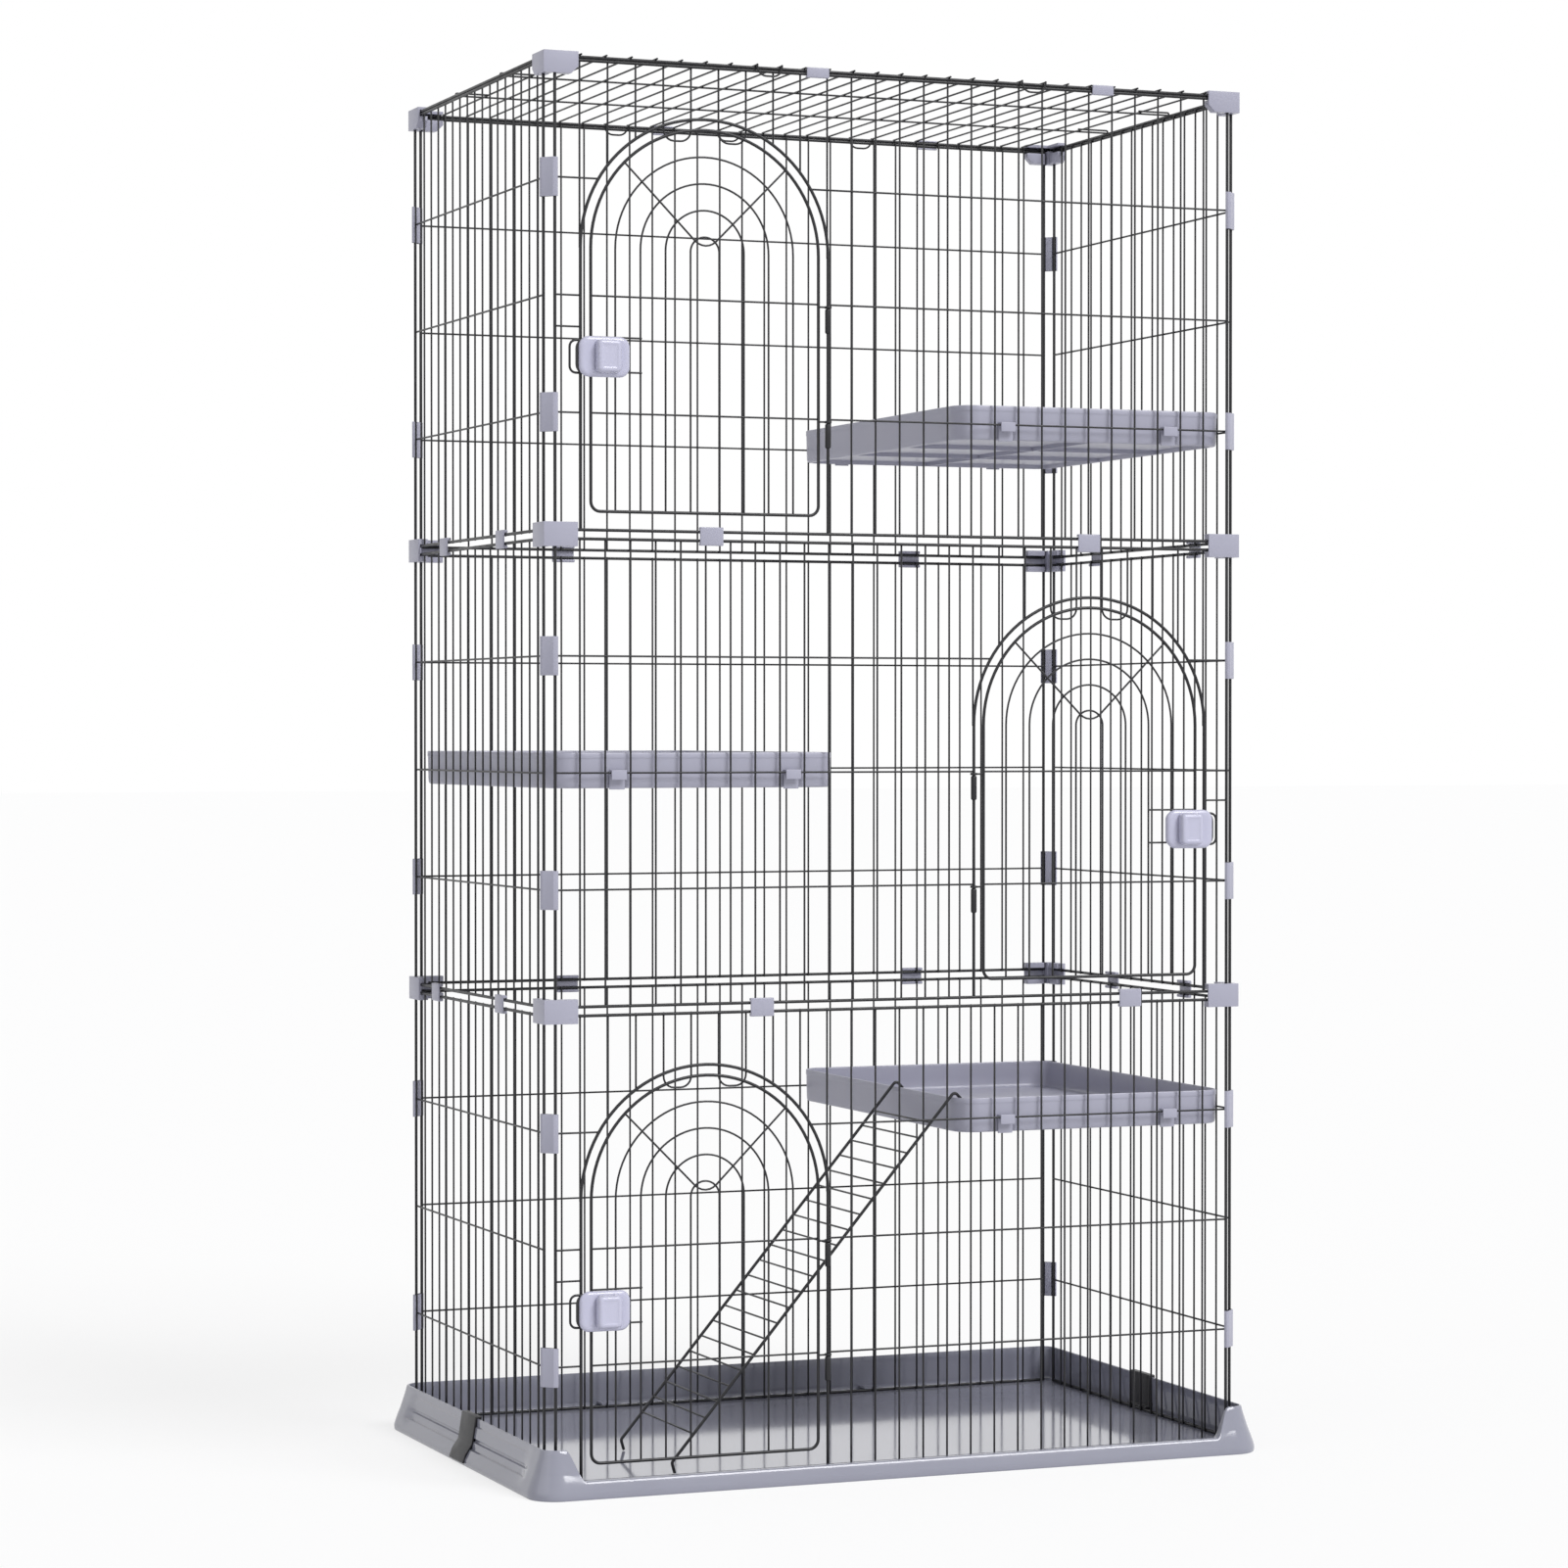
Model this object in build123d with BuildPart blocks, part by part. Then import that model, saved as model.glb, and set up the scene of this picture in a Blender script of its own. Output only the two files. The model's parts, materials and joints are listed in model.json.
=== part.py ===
from build123d import *
import os
from math import ceil, cos, hypot, pi, radians, sin, sqrt, tan

# A three-tier wire cat cage on a plastic base tray, with an arched door to each tier, three shelves and a ladder.
# Millimetres. X runs to the right, Y to the back and Z up. The origin is on the ground, under the cage's middle.

# Cage envelope, between the centre lines of its frame bars
cage_width = 924.0
cage_depth = 557.5
tier_height = 575.0
tier_gap = 11.0
corner_gap = 11.0
tier_count = 3
lowest_bar = 15.0

# Wire sections, across flats, and how far the inner wires stand inside a wall's bars
bar = 4.0
wire = 2.5
upright_inset = (bar + wire) / 2
cross_inset = (bar - wire) / 2
bays_back = 28
bays_side = 17
cross_heights = [tier_height * quarter / 4 for quarter in (1, 2, 3)]

# Door opening in the front wall, measured from the wall's end bar on the latch side
edge_bay = 33.0
opening_width = 328.5
opening_bays = 9
field_bays = 17
arch_height = 346.5
arch_smoothness = 0.7
stop_height = 483.0
stop_radius = 10.0
guard_height = 249.0

# Door leaf
door_half = 151.0
door_bottom = 23.0
door_corner = 12.0
door_proud = 0.5
arc_pitch = 33.0
arc_count = 4
vee_radius = 20.0
support_heights = (194.5, 237.0)
eye_height = 3.0
eye_clearance = 0.45
eye_wall = 2.3
hinge_gap = 0.35
sleeve_height = 31.5
sleeve_wall = 1.8

# Latch: a housing clipped on the door, with a knob and a bolt that slide along X
latch_height = 212.0
latch_start = -6.0
latch_size = (66.0, 50.0, 13.0)
latch_corner = 6.0
latch_feet = ((65.0, -17.0), (52.0, 24.0))
latch_wall = 2.0
knob_size = (32.0, 41.0, 12.0)
knob_start = 13.5
carriage_start = 17.0
carriage_size = (20.0, 44.0)
carriage_corner = 4.0
neck_size = (12.0, 20.0)
latch_travel = 20.0
running_gap = 0.35
bolt_wire = 3.0
bolt_reach = 17.0
bolt_spread = 40.0
bolt_radius = 8.0

# Corner fittings, edge clips and roof clips
cover = 4.7
slot_play = 0.25
fitting_thickness = 13.0
connector_leg = 44.0
connector_height = 30.0
cap_leg = 45.0
cap_top = 10.0
cap_height = 27.0
cap_round = 9.0
clip_height = 48.0
clip_wall = 2.2
clip_play = 0.05
edge_clip_size = (31.0, 23.0)
roof_clip_size = (30.0, 12.5)
edge_clip_places = {
    "lower": {"front": (-190.5, 321.0), "back": (-254.0, 258.0), "left": (-102.0, 167.0), "right": (-135.0, 83.0)},
    "upper": {"front": (-258.0, 261.5), "back": (-259.5, 254.0), "left": (-106.5, 130.5), "right": (-161.0, 136.0)},
}

# Roof
roof_rise = 4.0
roof_nub = 5.0
roof_hook_drop = 15.0
roof_hook_radius = 8.0
front_hook_bays = (8, 19)
back_hook_bays = (8, 13, 19)
roof_clip_bays = (10, 22)

# Shelves and their hook clips
shelf_size = (380.0, 541.5, 44.0)
shelf_end_gap = 9.5
shelf_corner = 30.0
shelf_wall = 3.0
shelf_drop = 19.0
shelf_floor = 8.0
shelf_floor_thickness = 3.0
shelf_clip_width = 20.0
shelf_clip_height = 24.0
shelf_clip_thickness = 2.2
shelf_clip_places = (147.7, 379.3)

# Ladder
ladder_front = -250.0
ladder_width = 188.0
ladder_lean = 386.0
ladder_apex_rise = 7.8
ladder_apex_inset = 3.2
ladder_tip = (9.5, -10.5)
ladder_foot = (4.0, -13.5)
ladder_foot_gap = 0.4
ladder_bend = 5.0
rung_count = 21
rung_pitch = 24.9
rung_start = 45.0

# Base tray: its wall's profile as outsets from the rectangle of the front and back walls, against height
skirt_outside = ((36.0, 0.0), (37.5, 6.0), (34.0, 15.5), (25.5, 28.0), (20.0, 60.0))
skirt_inside = ((19.8, 13.0), (17.0, 60.0))
skirt_corner = 40.0
floor_top = 13.0
floor_thickness = 3.0
under_wall = 3.0
rib_thickness = 3.0
rib_clearance = 1.5
window_half_top = 453.0
window_half_bottom = 438.0
window_bottom = 22.0
tab_width = 20.0
tab_thickness = 2.5
tab_places = (-195.0, 195.0)
buckle_width = 57.0
buckle_play = 0.2
buckle_thickness = 2.6

half_width = cage_width / 2
half_depth = cage_depth / 2
side_wall_x = half_width + corner_gap
side_wall_width = cage_depth - 2 * corner_gap
roof_level = lowest_bar + tier_count * tier_height + (tier_count - 1) * tier_gap + roof_rise

tier_names = ("lower", "middle", "upper")
# The door's latch is on the left of the lower and upper tiers and on the right of the middle one
latch_sides = (-1, 1, -1)
# The shelf hangs from the cross wires at this quarter of its tier, and on this side of the cage
shelf_quarters = (3, 2, 1)
shelf_sides = (1, -1, 1)


def tier_base(tier):
    """Height of the centre of a tier's bottom bars."""
    return lowest_bar + tier * (tier_height + tier_gap)


def wall_plane(side, height):
    """Plane of a wall's bars: its origin is at the middle of the wall, x along the wall, y up, z outwards."""
    planes = {
        "front": Plane(origin=(0, -half_depth, height), x_dir=(1, 0, 0), z_dir=(0, -1, 0)),
        "back": Plane(origin=(0, half_depth, height), x_dir=(-1, 0, 0), z_dir=(0, 1, 0)),
        "left": Plane(origin=(-side_wall_x, 0, height), x_dir=(0, -1, 0), z_dir=(-1, 0, 0)),
        "right": Plane(origin=(side_wall_x, 0, height), x_dir=(0, 1, 0), z_dir=(1, 0, 0)),
    }
    return planes[side]


def rising(wall, height):
    """Plane across a wall's uprights: x along the wall, y inwards."""
    return Plane(origin=wall.from_local_coords((0, height, 0)), x_dir=wall.x_dir, z_dir=wall.y_dir)


def level(wall, start):
    """Plane across a wall's level wires: x up, y outwards."""
    return Plane(origin=wall.from_local_coords((start, 0, 0)), x_dir=wall.y_dir, z_dir=wall.x_dir)


def rods(plane, spots, length, across, sides=4):
    """Add parallel square or octagonal rods to the part in hand, one from each spot of the plane."""
    with BuildSketch(plane) as ends:
        with Locations(*spots):
            RegularPolygon(across / 2, sides, major_radius=False, rotation=180 / sides)
    extrude(ends.sketch, amount=length)


def eased(corners, radius):
    """Points along a bent wire: each inner corner becomes the start, middle and end of its bend."""
    points = [Vector(*corners[0])]
    for before, corner, after in zip(corners, corners[1:], corners[2:]):
        place = Vector(*corner)
        back = (Vector(*before) - place).normalized()
        ahead = (Vector(*after) - place).normalized()
        half_angle = radians(back.get_angle(ahead) / 2)
        inwards = (back + ahead).normalized()
        tangent = radius / tan(half_angle)
        points += [
            place + back * tangent,
            place + inwards * (radius / sin(half_angle) - radius),
            place + ahead * tangent,
        ]
    return points + [Vector(*corners[-1])]


def arch(radius):
    """Corner points of an arch over the arch height: a half circle of short even chords, shorter on a small one."""
    chords = 2 * ceil(arch_smoothness * sqrt(radius))
    turns = [pi * step / chords for step in range(chords + 1)]
    return [(radius * cos(turn), arch_height + radius * sin(turn)) for turn in turns]


def bent(plane, path, across):
    """Add one bent wire of square section to the part in hand, along a path drawn flat in the plane."""
    with BuildSketch(plane) as outline:
        trace(path, line_width=across)
    extrude(outline.sketch, amount=across / 2, both=True)


def write(label, *groups):
    """Write the solids of one or more builder parts as one sub-part; each wire stays a solid of its own."""
    solids = [solid for group in groups for solid in group.part.solids()]
    piece = solids[0] if len(solids) == 1 else Compound(solids)
    piece.label = label
    export_step(piece, f"parts/{label}.step")


def wall_frame(wall, width):
    """Two end bars of a wall, and the two level bars that butt between them."""
    with BuildPart() as ends:
        rods(rising(wall, -bar / 2), [(-width / 2, 0), (width / 2, 0)], tier_height + bar, bar)
    with BuildPart() as levels:
        rods(level(wall, -width / 2 + bar / 2), [(0, 0), (tier_height, 0)], width - bar, bar)
    return ends, levels


def plain_wall(label, side, tier, width, bays):
    """A wall panel with evenly spaced uprights and three cross wires."""
    wall = wall_plane(side, tier_base(tier))
    ends, levels = wall_frame(wall, width)
    pitch = width / bays
    with BuildPart() as uprights:
        spots = [(pitch * bay - width / 2, upright_inset) for bay in range(1, bays)]
        rods(rising(wall, -bar / 2), spots, tier_height + bar, wire)
    with BuildPart() as crosses:
        spots = [(height, -cross_inset) for height in cross_heights]
        rods(level(wall, -width / 2 + bar / 2), spots, width - bar, wire)
    write(label, ends, levels, uprights, crosses)


def front_x(hand, distance):
    """Place along the front wall of a distance from the end bar on the latch side."""
    return hand * (half_width - distance)


def span(wall, hand, start, end, heights):
    """Add level wires to the part in hand between two distances from the end bar on the latch side."""
    low = min(front_x(hand, start), front_x(hand, end))
    rods(level(wall, low), [(height, -cross_inset) for height in heights], end - start, wire)


def front_wall(tier, hand):
    """The front wall panel, whose wires leave the door opening free, with its two hairpin door stops."""
    wall = wall_plane("front", tier_base(tier))
    ends, levels = wall_frame(wall, cage_width)
    hinge = edge_bay + opening_width
    centre = edge_bay + opening_width / 2
    radius = opening_width / 2
    pitch = opening_width / opening_bays
    with BuildPart() as uprights:
        step = (cage_width - hinge) / field_bays
        spots = [(front_x(hand, hinge + step * bay), upright_inset) for bay in range(1, field_bays)]
        rods(rising(wall, -bar / 2), spots, tier_height + bar, wire)
    with BuildPart() as stubs:
        for bay in (0, 1, 2, 7, 8, 9):
            place = edge_bay + pitch * bay
            foot = arch_height + sqrt(radius**2 - (place - centre) ** 2) - bar / 4
            rods(rising(wall, foot), [(front_x(hand, place), upright_inset)], tier_height + bar / 2 - foot, wire)
    with BuildPart() as stops:
        for bay in (3, 5):
            near = front_x(hand, edge_bay + pitch * bay)
            far = front_x(hand, edge_bay + pitch * (bay + 1))
            top = tier_height + bar / 2
            corners = [(near, top), (near, stop_height), (far, stop_height), (far, top)]
            with BuildLine() as hairpin:
                Polyline(*eased(corners, stop_radius))
            bent(wall.offset(-upright_inset), hairpin.line, wire)
    with BuildPart() as crosses:
        low, half, high = cross_heights
        edge = edge_bay - bar / 2
        span(wall, hand, bar / 2, edge, (low, half, guard_height))
        span(wall, hand, hinge + bar / 2, cage_width - bar / 2, (low, half))
        reach = sqrt((radius + bar / 2 + 0.05) ** 2 - (high - wire / 2 - arch_height) ** 2)
        span(wall, hand, bar / 2, centre - reach, (high,))
        span(wall, hand, centre + reach, cage_width - bar / 2, (high,))
    write(f"front_wall_{tier_names[tier]}", ends, levels, uprights, stubs, stops, crosses)


def opening_hoop(tier, hand):
    """The thick wire round the door opening: two legs on the bottom bar, and the arch between them."""
    wall = wall_plane("front", tier_base(tier))
    near = front_x(hand, edge_bay)
    far = front_x(hand, edge_bay + opening_width)
    middle = (near + far) / 2
    with BuildPart() as legs:
        rods(rising(wall, bar / 2), [(near, 0), (far, 0)], arch_height - bar / 2, bar, 8)
    with BuildPart() as bow:
        with BuildLine() as path:
            Polyline(*[(middle + across, rise) for across, rise in arch(opening_width / 2)])
        bent(wall, path.line, bar)
    write(f"opening_hoop_{tier_names[tier]}", legs, bow)


def eye_centre(cross_height):
    """Height of a hinge eye, which hangs just under the wall's cross wire."""
    return cross_height - wire / 2 - hinge_gap - eye_height / 2


def ring(wall, place, foot, height, hole, outside):
    """Add an upright octagonal ring to the part in hand, round a vertical bar of the wall."""
    with BuildSketch(rising(wall, foot)) as section:
        with Locations((place, 0)):
            RegularPolygon(outside / 2, 8, major_radius=False, rotation=22.5)
            RegularPolygon(hole / 2, 8, major_radius=False, rotation=22.5, mode=Mode.SUBTRACT)
    extrude(section.sketch, amount=height)


def hinge_sleeves():
    """Six sleeves crimped on the hinge legs of the hoops; the door's eyes stand on them."""
    with BuildPart() as sleeves:
        for tier, hand in enumerate(latch_sides):
            wall = wall_plane("front", tier_base(tier))
            place = front_x(hand, edge_bay + opening_width)
            for cross_height in cross_heights[:2]:
                top = eye_centre(cross_height) - eye_height / 2 - hinge_gap
                ring(wall, place, top - sleeve_height, sleeve_height, bar, bar + 2 * sleeve_wall)
    write("hinge_sleeves", sleeves)


def door_leaf(tier, hand):
    """An arched door: its frame, nested arches, a V wire, cross wires, latch wires and two hinge eyes."""
    wall = wall_plane("front", tier_base(tier))
    middle = front_x(hand, edge_bay + opening_width / 2)
    leaf = Plane(origin=wall.from_local_coords((middle, 0, door_proud)), x_dir=wall.x_dir, z_dir=wall.z_dir)
    with BuildPart() as frame:
        foot = [(-door_half, door_bottom), (door_half, door_bottom)]
        with BuildLine() as path:
            Polyline(*eased([(-door_half, arch_height), *foot, (door_half, arch_height)], door_corner))
            Polyline(*arch(door_half))
        bent(leaf, path.line, bar)
    with BuildPart() as arches:
        for turn in range(1, arc_count + 1):
            radius = door_half - arc_pitch * turn
            with BuildLine() as path:
                Polyline((radius, door_bottom), *arch(radius), (-radius, door_bottom))
            bent(leaf.offset(-upright_inset), path.line, wire)
    with BuildPart() as vee:
        reach = (door_half * cos(pi / 4 / ceil(arch_smoothness * sqrt(door_half))) - bar / 2 - 0.02) / sqrt(2)
        top = arch_height + reach
        with BuildLine() as path:
            Polyline(*eased([(-reach, top), (0, arch_height), (reach, top)], vee_radius))
        bent(leaf.offset(-cross_inset), path.line, wire)
    with BuildPart() as crosses:
        inner = door_half - bar / 2
        rods(level(leaf, -inner), [(height, -cross_inset) for height in cross_heights[:2]], 2 * inner, wire)
        reach = 2 * arc_pitch - bar / 2 + wire / 2
        start = inner * hand if hand < 0 else inner - reach
        rods(level(leaf, start), [(height, -cross_inset) for height in support_heights], reach, wire)
    with BuildPart() as eyes:
        hinge = front_x(hand, edge_bay + opening_width)
        eye_across = bar + 2 * (eye_clearance + eye_wall)
        for cross_height in cross_heights[:2]:
            centre = eye_centre(cross_height)
            ring(wall, hinge, centre - eye_height / 2, eye_height, bar + 2 * eye_clearance, eye_across)
            link = opening_width / 2 - door_half - bar / 2 - eye_across / 2 + eye_wall / 2
            start = -door_half - bar / 2 - link if hand > 0 else door_half + bar / 2
            rods(level(leaf, start), [(centre, 0)], link, wire)
    write(f"door_{tier_names[tier]}", frame, arches, vee, crosses, eyes)


def bevelled(width, height, bevel):
    """Add a rectangle with bevelled corners to the sketch in hand."""
    across = width / 2
    up = height / 2
    corner = [(across, up - bevel), (across - bevel, up)]
    upper = corner + [(-along, rise) for along, rise in reversed(corner)]
    Polygon(*upper, *[(-along, -rise) for along, rise in upper], align=Align.CENTER)


def latch(tier, hand):
    """A latch: the housing on the door's wires, and the bolt and knob that slide in it."""
    wall = wall_plane("front", tier_base(tier))
    back = Plane(
        origin=wall.from_local_coords((0, latch_height, door_proud + bar / 2)), x_dir=wall.x_dir, z_dir=wall.z_dir
    )
    width, height, depth = latch_size
    centre = front_x(hand, edge_bay + latch_start + width / 2)
    with BuildPart() as housing:
        with BuildSketch(back):
            with Locations((centre, 0)):
                bevelled(width, height, latch_corner)
        extrude(amount=depth)
        chamfer(housing.faces().sort_by(Axis.Y)[0].edges(), latch_wall / 2)
        with BuildSketch(back):
            with Locations((centre, 0)):
                bevelled(width - 2 * latch_wall, height - 2 * latch_wall, latch_corner - latch_wall / 2)
        extrude(amount=depth - latch_wall, mode=Mode.SUBTRACT)
        slot = neck_size[0] + latch_travel + 2 * running_gap
        slot_start = edge_bay + carriage_start + (carriage_size[0] - neck_size[0]) / 2 - running_gap
        with BuildSketch(back):
            with Locations((front_x(hand, slot_start + slot / 2), 0)):
                Rectangle(slot, neck_size[1] + 2 * running_gap)
        extrude(amount=depth, mode=Mode.SUBTRACT)
        notch = bolt_wire + 2 * running_gap
        with BuildSketch(back):
            with Locations((front_x(hand, edge_bay + latch_start), 0)):
                Rectangle(2 * (latch_wall + latch_corner), bolt_spread + notch)
        extrude(amount=notch, mode=Mode.SUBTRACT)
        foot = bar / 2 - (wire / 2 - cross_inset)
        with BuildSketch(back.offset(-foot)):
            feet = [(front_x(hand, edge_bay + latch_start + along), rise) for along, rise in latch_feet]
            with Locations(*feet):
                Rectangle(latch_wall, latch_wall)
        extrude(amount=foot + latch_wall)
    write(f"latch_housing_{tier_names[tier]}", housing)

    bolt_plane = back.offset(running_gap + bolt_wire / 2)
    with BuildPart() as bolt:
        tip = front_x(hand, edge_bay - bolt_reach + bolt_wire / 2)
        tail = front_x(hand, edge_bay + carriage_start + carriage_size[0] - carriage_corner)
        side = bolt_spread / 2
        with BuildLine() as path:
            Polyline(*eased([(tail, -side), (tip, -side), (tip, side), (tail, side)], bolt_radius))
        bent(bolt_plane, path.line, bolt_wire)
    write(f"latch_bolt_{tier_names[tier]}", bolt)

    with BuildPart() as knob:
        carriage_back = back.offset(running_gap + bolt_wire)
        carriage_depth = depth - latch_wall - 2 * running_gap - bolt_wire
        carriage_centre = front_x(hand, edge_bay + carriage_start + carriage_size[0] / 2)
        with BuildSketch(carriage_back):
            with Locations((carriage_centre, 0)):
                bevelled(*carriage_size, carriage_corner)
        extrude(amount=carriage_depth)
        with BuildSketch(carriage_back.offset(carriage_depth)):
            with Locations((carriage_centre, 0)):
                Rectangle(*neck_size)
        extrude(amount=latch_wall + 2 * running_gap)
        with BuildSketch(back.offset(depth + running_gap)):
            with Locations((front_x(hand, edge_bay + knob_start + knob_size[0] / 2), 0)):
                Rectangle(knob_size[0], knob_size[1])
        extrude(amount=knob_size[2])
        front = knob.faces().sort_by(Axis.Y)[0]
        chamfer(front.edges(), 3.0)
    write(f"latch_knob_{tier_names[tier]}", knob)


def corner_spots(hand_x, hand_y, points):
    """Turn distances inwards from a fitting's outer corner into places on the ground plan."""
    corner_x = side_wall_x + cover
    corner_y = half_depth + cover
    return [(hand_x * (corner_x - along), hand_y * (corner_y - across)) for along, across in points]


def plan(hand_x, hand_y, height, points):
    """Face at a height, from points given as distances inwards from a fitting's outer corner."""
    with BuildSketch(Plane.XY.offset(height)) as face:
        Polygon(*corner_spots(hand_x, hand_y, points), align=None)
    return face.sketch


def block(low, high):
    """Corner points of a rectangle between two opposite corners."""
    return [low, (high[0], low[1]), high, (low[0], high[1])]


def ell(edge, leg, thickness):
    """Corner points of an L with its outer faces set in by an edge."""
    return [(edge, edge), (leg, edge), (leg, thickness), (thickness, thickness), (thickness, leg), (edge, leg)]


def end_bar_slots(hand_x, hand_y, foot, height):
    """Cut the upright slots for the end bars of the two walls that meet in a corner fitting."""
    half = bar / 2 + slot_play
    end = cover + corner_gap
    open_side = fitting_thickness + 1
    front_slot = plan(hand_x, hand_y, foot, block((end - half, cover - half), (end + half, open_side)))
    side_slot = plan(hand_x, hand_y, foot, block((cover - half, end - half), (open_side, end + half)))
    extrude(front_slot, amount=height, mode=Mode.SUBTRACT)
    extrude(side_slot, amount=height, mode=Mode.SUBTRACT)


def corner_connector(boundary, hand_x, hand_y, label):
    """An L-shaped plastic block that joins four wall ends where two tiers meet; its slots open inwards."""
    middle = tier_base(boundary + 1) - tier_gap / 2
    foot = middle - connector_height / 2
    half = bar / 2 + slot_play
    end = cover + corner_gap
    slot_height = tier_gap + 2 * half
    open_side = fitting_thickness + 1
    with BuildPart() as connector:
        extrude(plan(hand_x, hand_y, foot, ell(0, connector_leg, fitting_thickness)), amount=connector_height)
        end_bar_slots(hand_x, hand_y, foot, connector_height)
        level_foot = middle - slot_height / 2
        far = connector_leg + 1
        front_slot = plan(hand_x, hand_y, level_foot, block((end - half, cover - half), (far, open_side)))
        side_slot = plan(hand_x, hand_y, level_foot, block((cover - half, end - half), (open_side, far)))
        extrude(front_slot, amount=slot_height, mode=Mode.SUBTRACT)
        extrude(side_slot, amount=slot_height, mode=Mode.SUBTRACT)
    write(label, connector)


def top_cap(hand_x, hand_y, label):
    """A closed corner cap over the top bars and the roof's corner, with rounded lower ends."""
    top = roof_level - roof_rise + cap_top
    foot = top - cap_height
    half = bar / 2 + slot_play
    end = cover + corner_gap
    slot_foot = roof_level - roof_rise - half
    roof_slot_foot = roof_level - half
    slot_top = roof_level + half
    open_side = fitting_thickness + 1
    far = cap_leg + 1
    with BuildPart() as cap:
        extrude(plan(hand_x, hand_y, foot, ell(0, cap_leg, fitting_thickness)), amount=cap_height)
        leg_ends = [
            cap.edges().filter_by(Axis.Y).group_by(Axis.Z)[0].sort_by(Axis.X)[0 if hand_x > 0 else -1],
            cap.edges().filter_by(Axis.X).group_by(Axis.Z)[0].sort_by(Axis.Y)[0 if hand_y > 0 else -1],
        ]
        chamfer(leg_ends, cap_round)
        end_bar_slots(hand_x, hand_y, foot, slot_top - foot)
        front_slot = plan(hand_x, hand_y, slot_foot, block((end - half, cover - half), (far, open_side)))
        side_slot = plan(hand_x, hand_y, slot_foot, block((cover - half, end - half), (open_side, far)))
        extrude(front_slot, amount=slot_top - slot_foot, mode=Mode.SUBTRACT)
        extrude(side_slot, amount=slot_top - slot_foot, mode=Mode.SUBTRACT)
        roof_slot = plan(hand_x, hand_y, roof_slot_foot, ell(cover - half, far, open_side))
        extrude(roof_slot, amount=slot_top - roof_slot_foot, mode=Mode.SUBTRACT)
    write(label, cap)


def corner_clips(tier):
    """Eight clips on a tier's corners: each grips the two end bars from outside, its slots open inwards."""
    lobe = corner_gap / sqrt(2)
    slot = bar / sqrt(2) + clip_play
    outer = lobe + slot + clip_wall
    front = slot + clip_wall
    half = [
        (lobe, front),
        (outer - 1, front - 2.4),
        (outer - 1, -1.0),
        (lobe + slot, -1.0),
        (lobe + slot, slot),
        (lobe - slot, slot),
        (lobe - slot, -1.0),
    ]
    outline = [(0, slot + 1.2)] + half + [(-across, depth) for across, depth in reversed(half)]
    with BuildPart() as clips:
        for hand_x, hand_y in ((-1, -1), (1, -1), (-1, 1), (1, 1)):
            centre = (hand_x * (half_width + corner_gap / 2), hand_y * (half_depth - corner_gap / 2))
            places = [
                (
                    centre[0] + hand_x * (across + depth) / sqrt(2),
                    centre[1] + hand_y * (depth - across) / sqrt(2),
                )
                for across, depth in outline
            ]
            for cross_height in (cross_heights[0], cross_heights[2]):
                foot = tier_base(tier) + cross_height - clip_height / 2
                with BuildSketch(Plane.XY.offset(foot)) as section:
                    Polygon(*places, align=None)
                extrude(section.sketch, amount=clip_height)
    write(f"corner_clips_{tier_names[tier]}", clips)


def channel(wall, place, width, foot, top, height):
    """Add a C-shaped clip to the part in hand that grips two level bars of a wall from outside."""
    half = bar / 2 + slot_play
    wall_height = (height - (top - foot) - 2 * half) / 2
    low = foot - half - wall_height
    high = top + half + wall_height
    points = [
        (low, cover),
        (high, cover),
        (high, -bar / 2),
        (top + half, -bar / 2),
        (top + half, half),
        (foot - half, half),
        (foot - half, -bar / 2),
        (low, -bar / 2),
    ]
    with BuildSketch(level(wall, place - width / 2)) as section:
        Polygon(*points, align=None)
    extrude(section.sketch, amount=width)


def edge_clips(boundary, label, places):
    """Clips along the seam between two tiers, each over a top bar and the bottom bar above it."""
    with BuildPart() as clips:
        for side, spots in places.items():
            wall = wall_plane(side, tier_base(boundary + 1))
            for spot in spots:
                along = spot if side in ("front", "right") else -spot
                channel(wall, along, edge_clip_size[0], -tier_gap, 0, edge_clip_size[1])
    write(label, clips)


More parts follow.
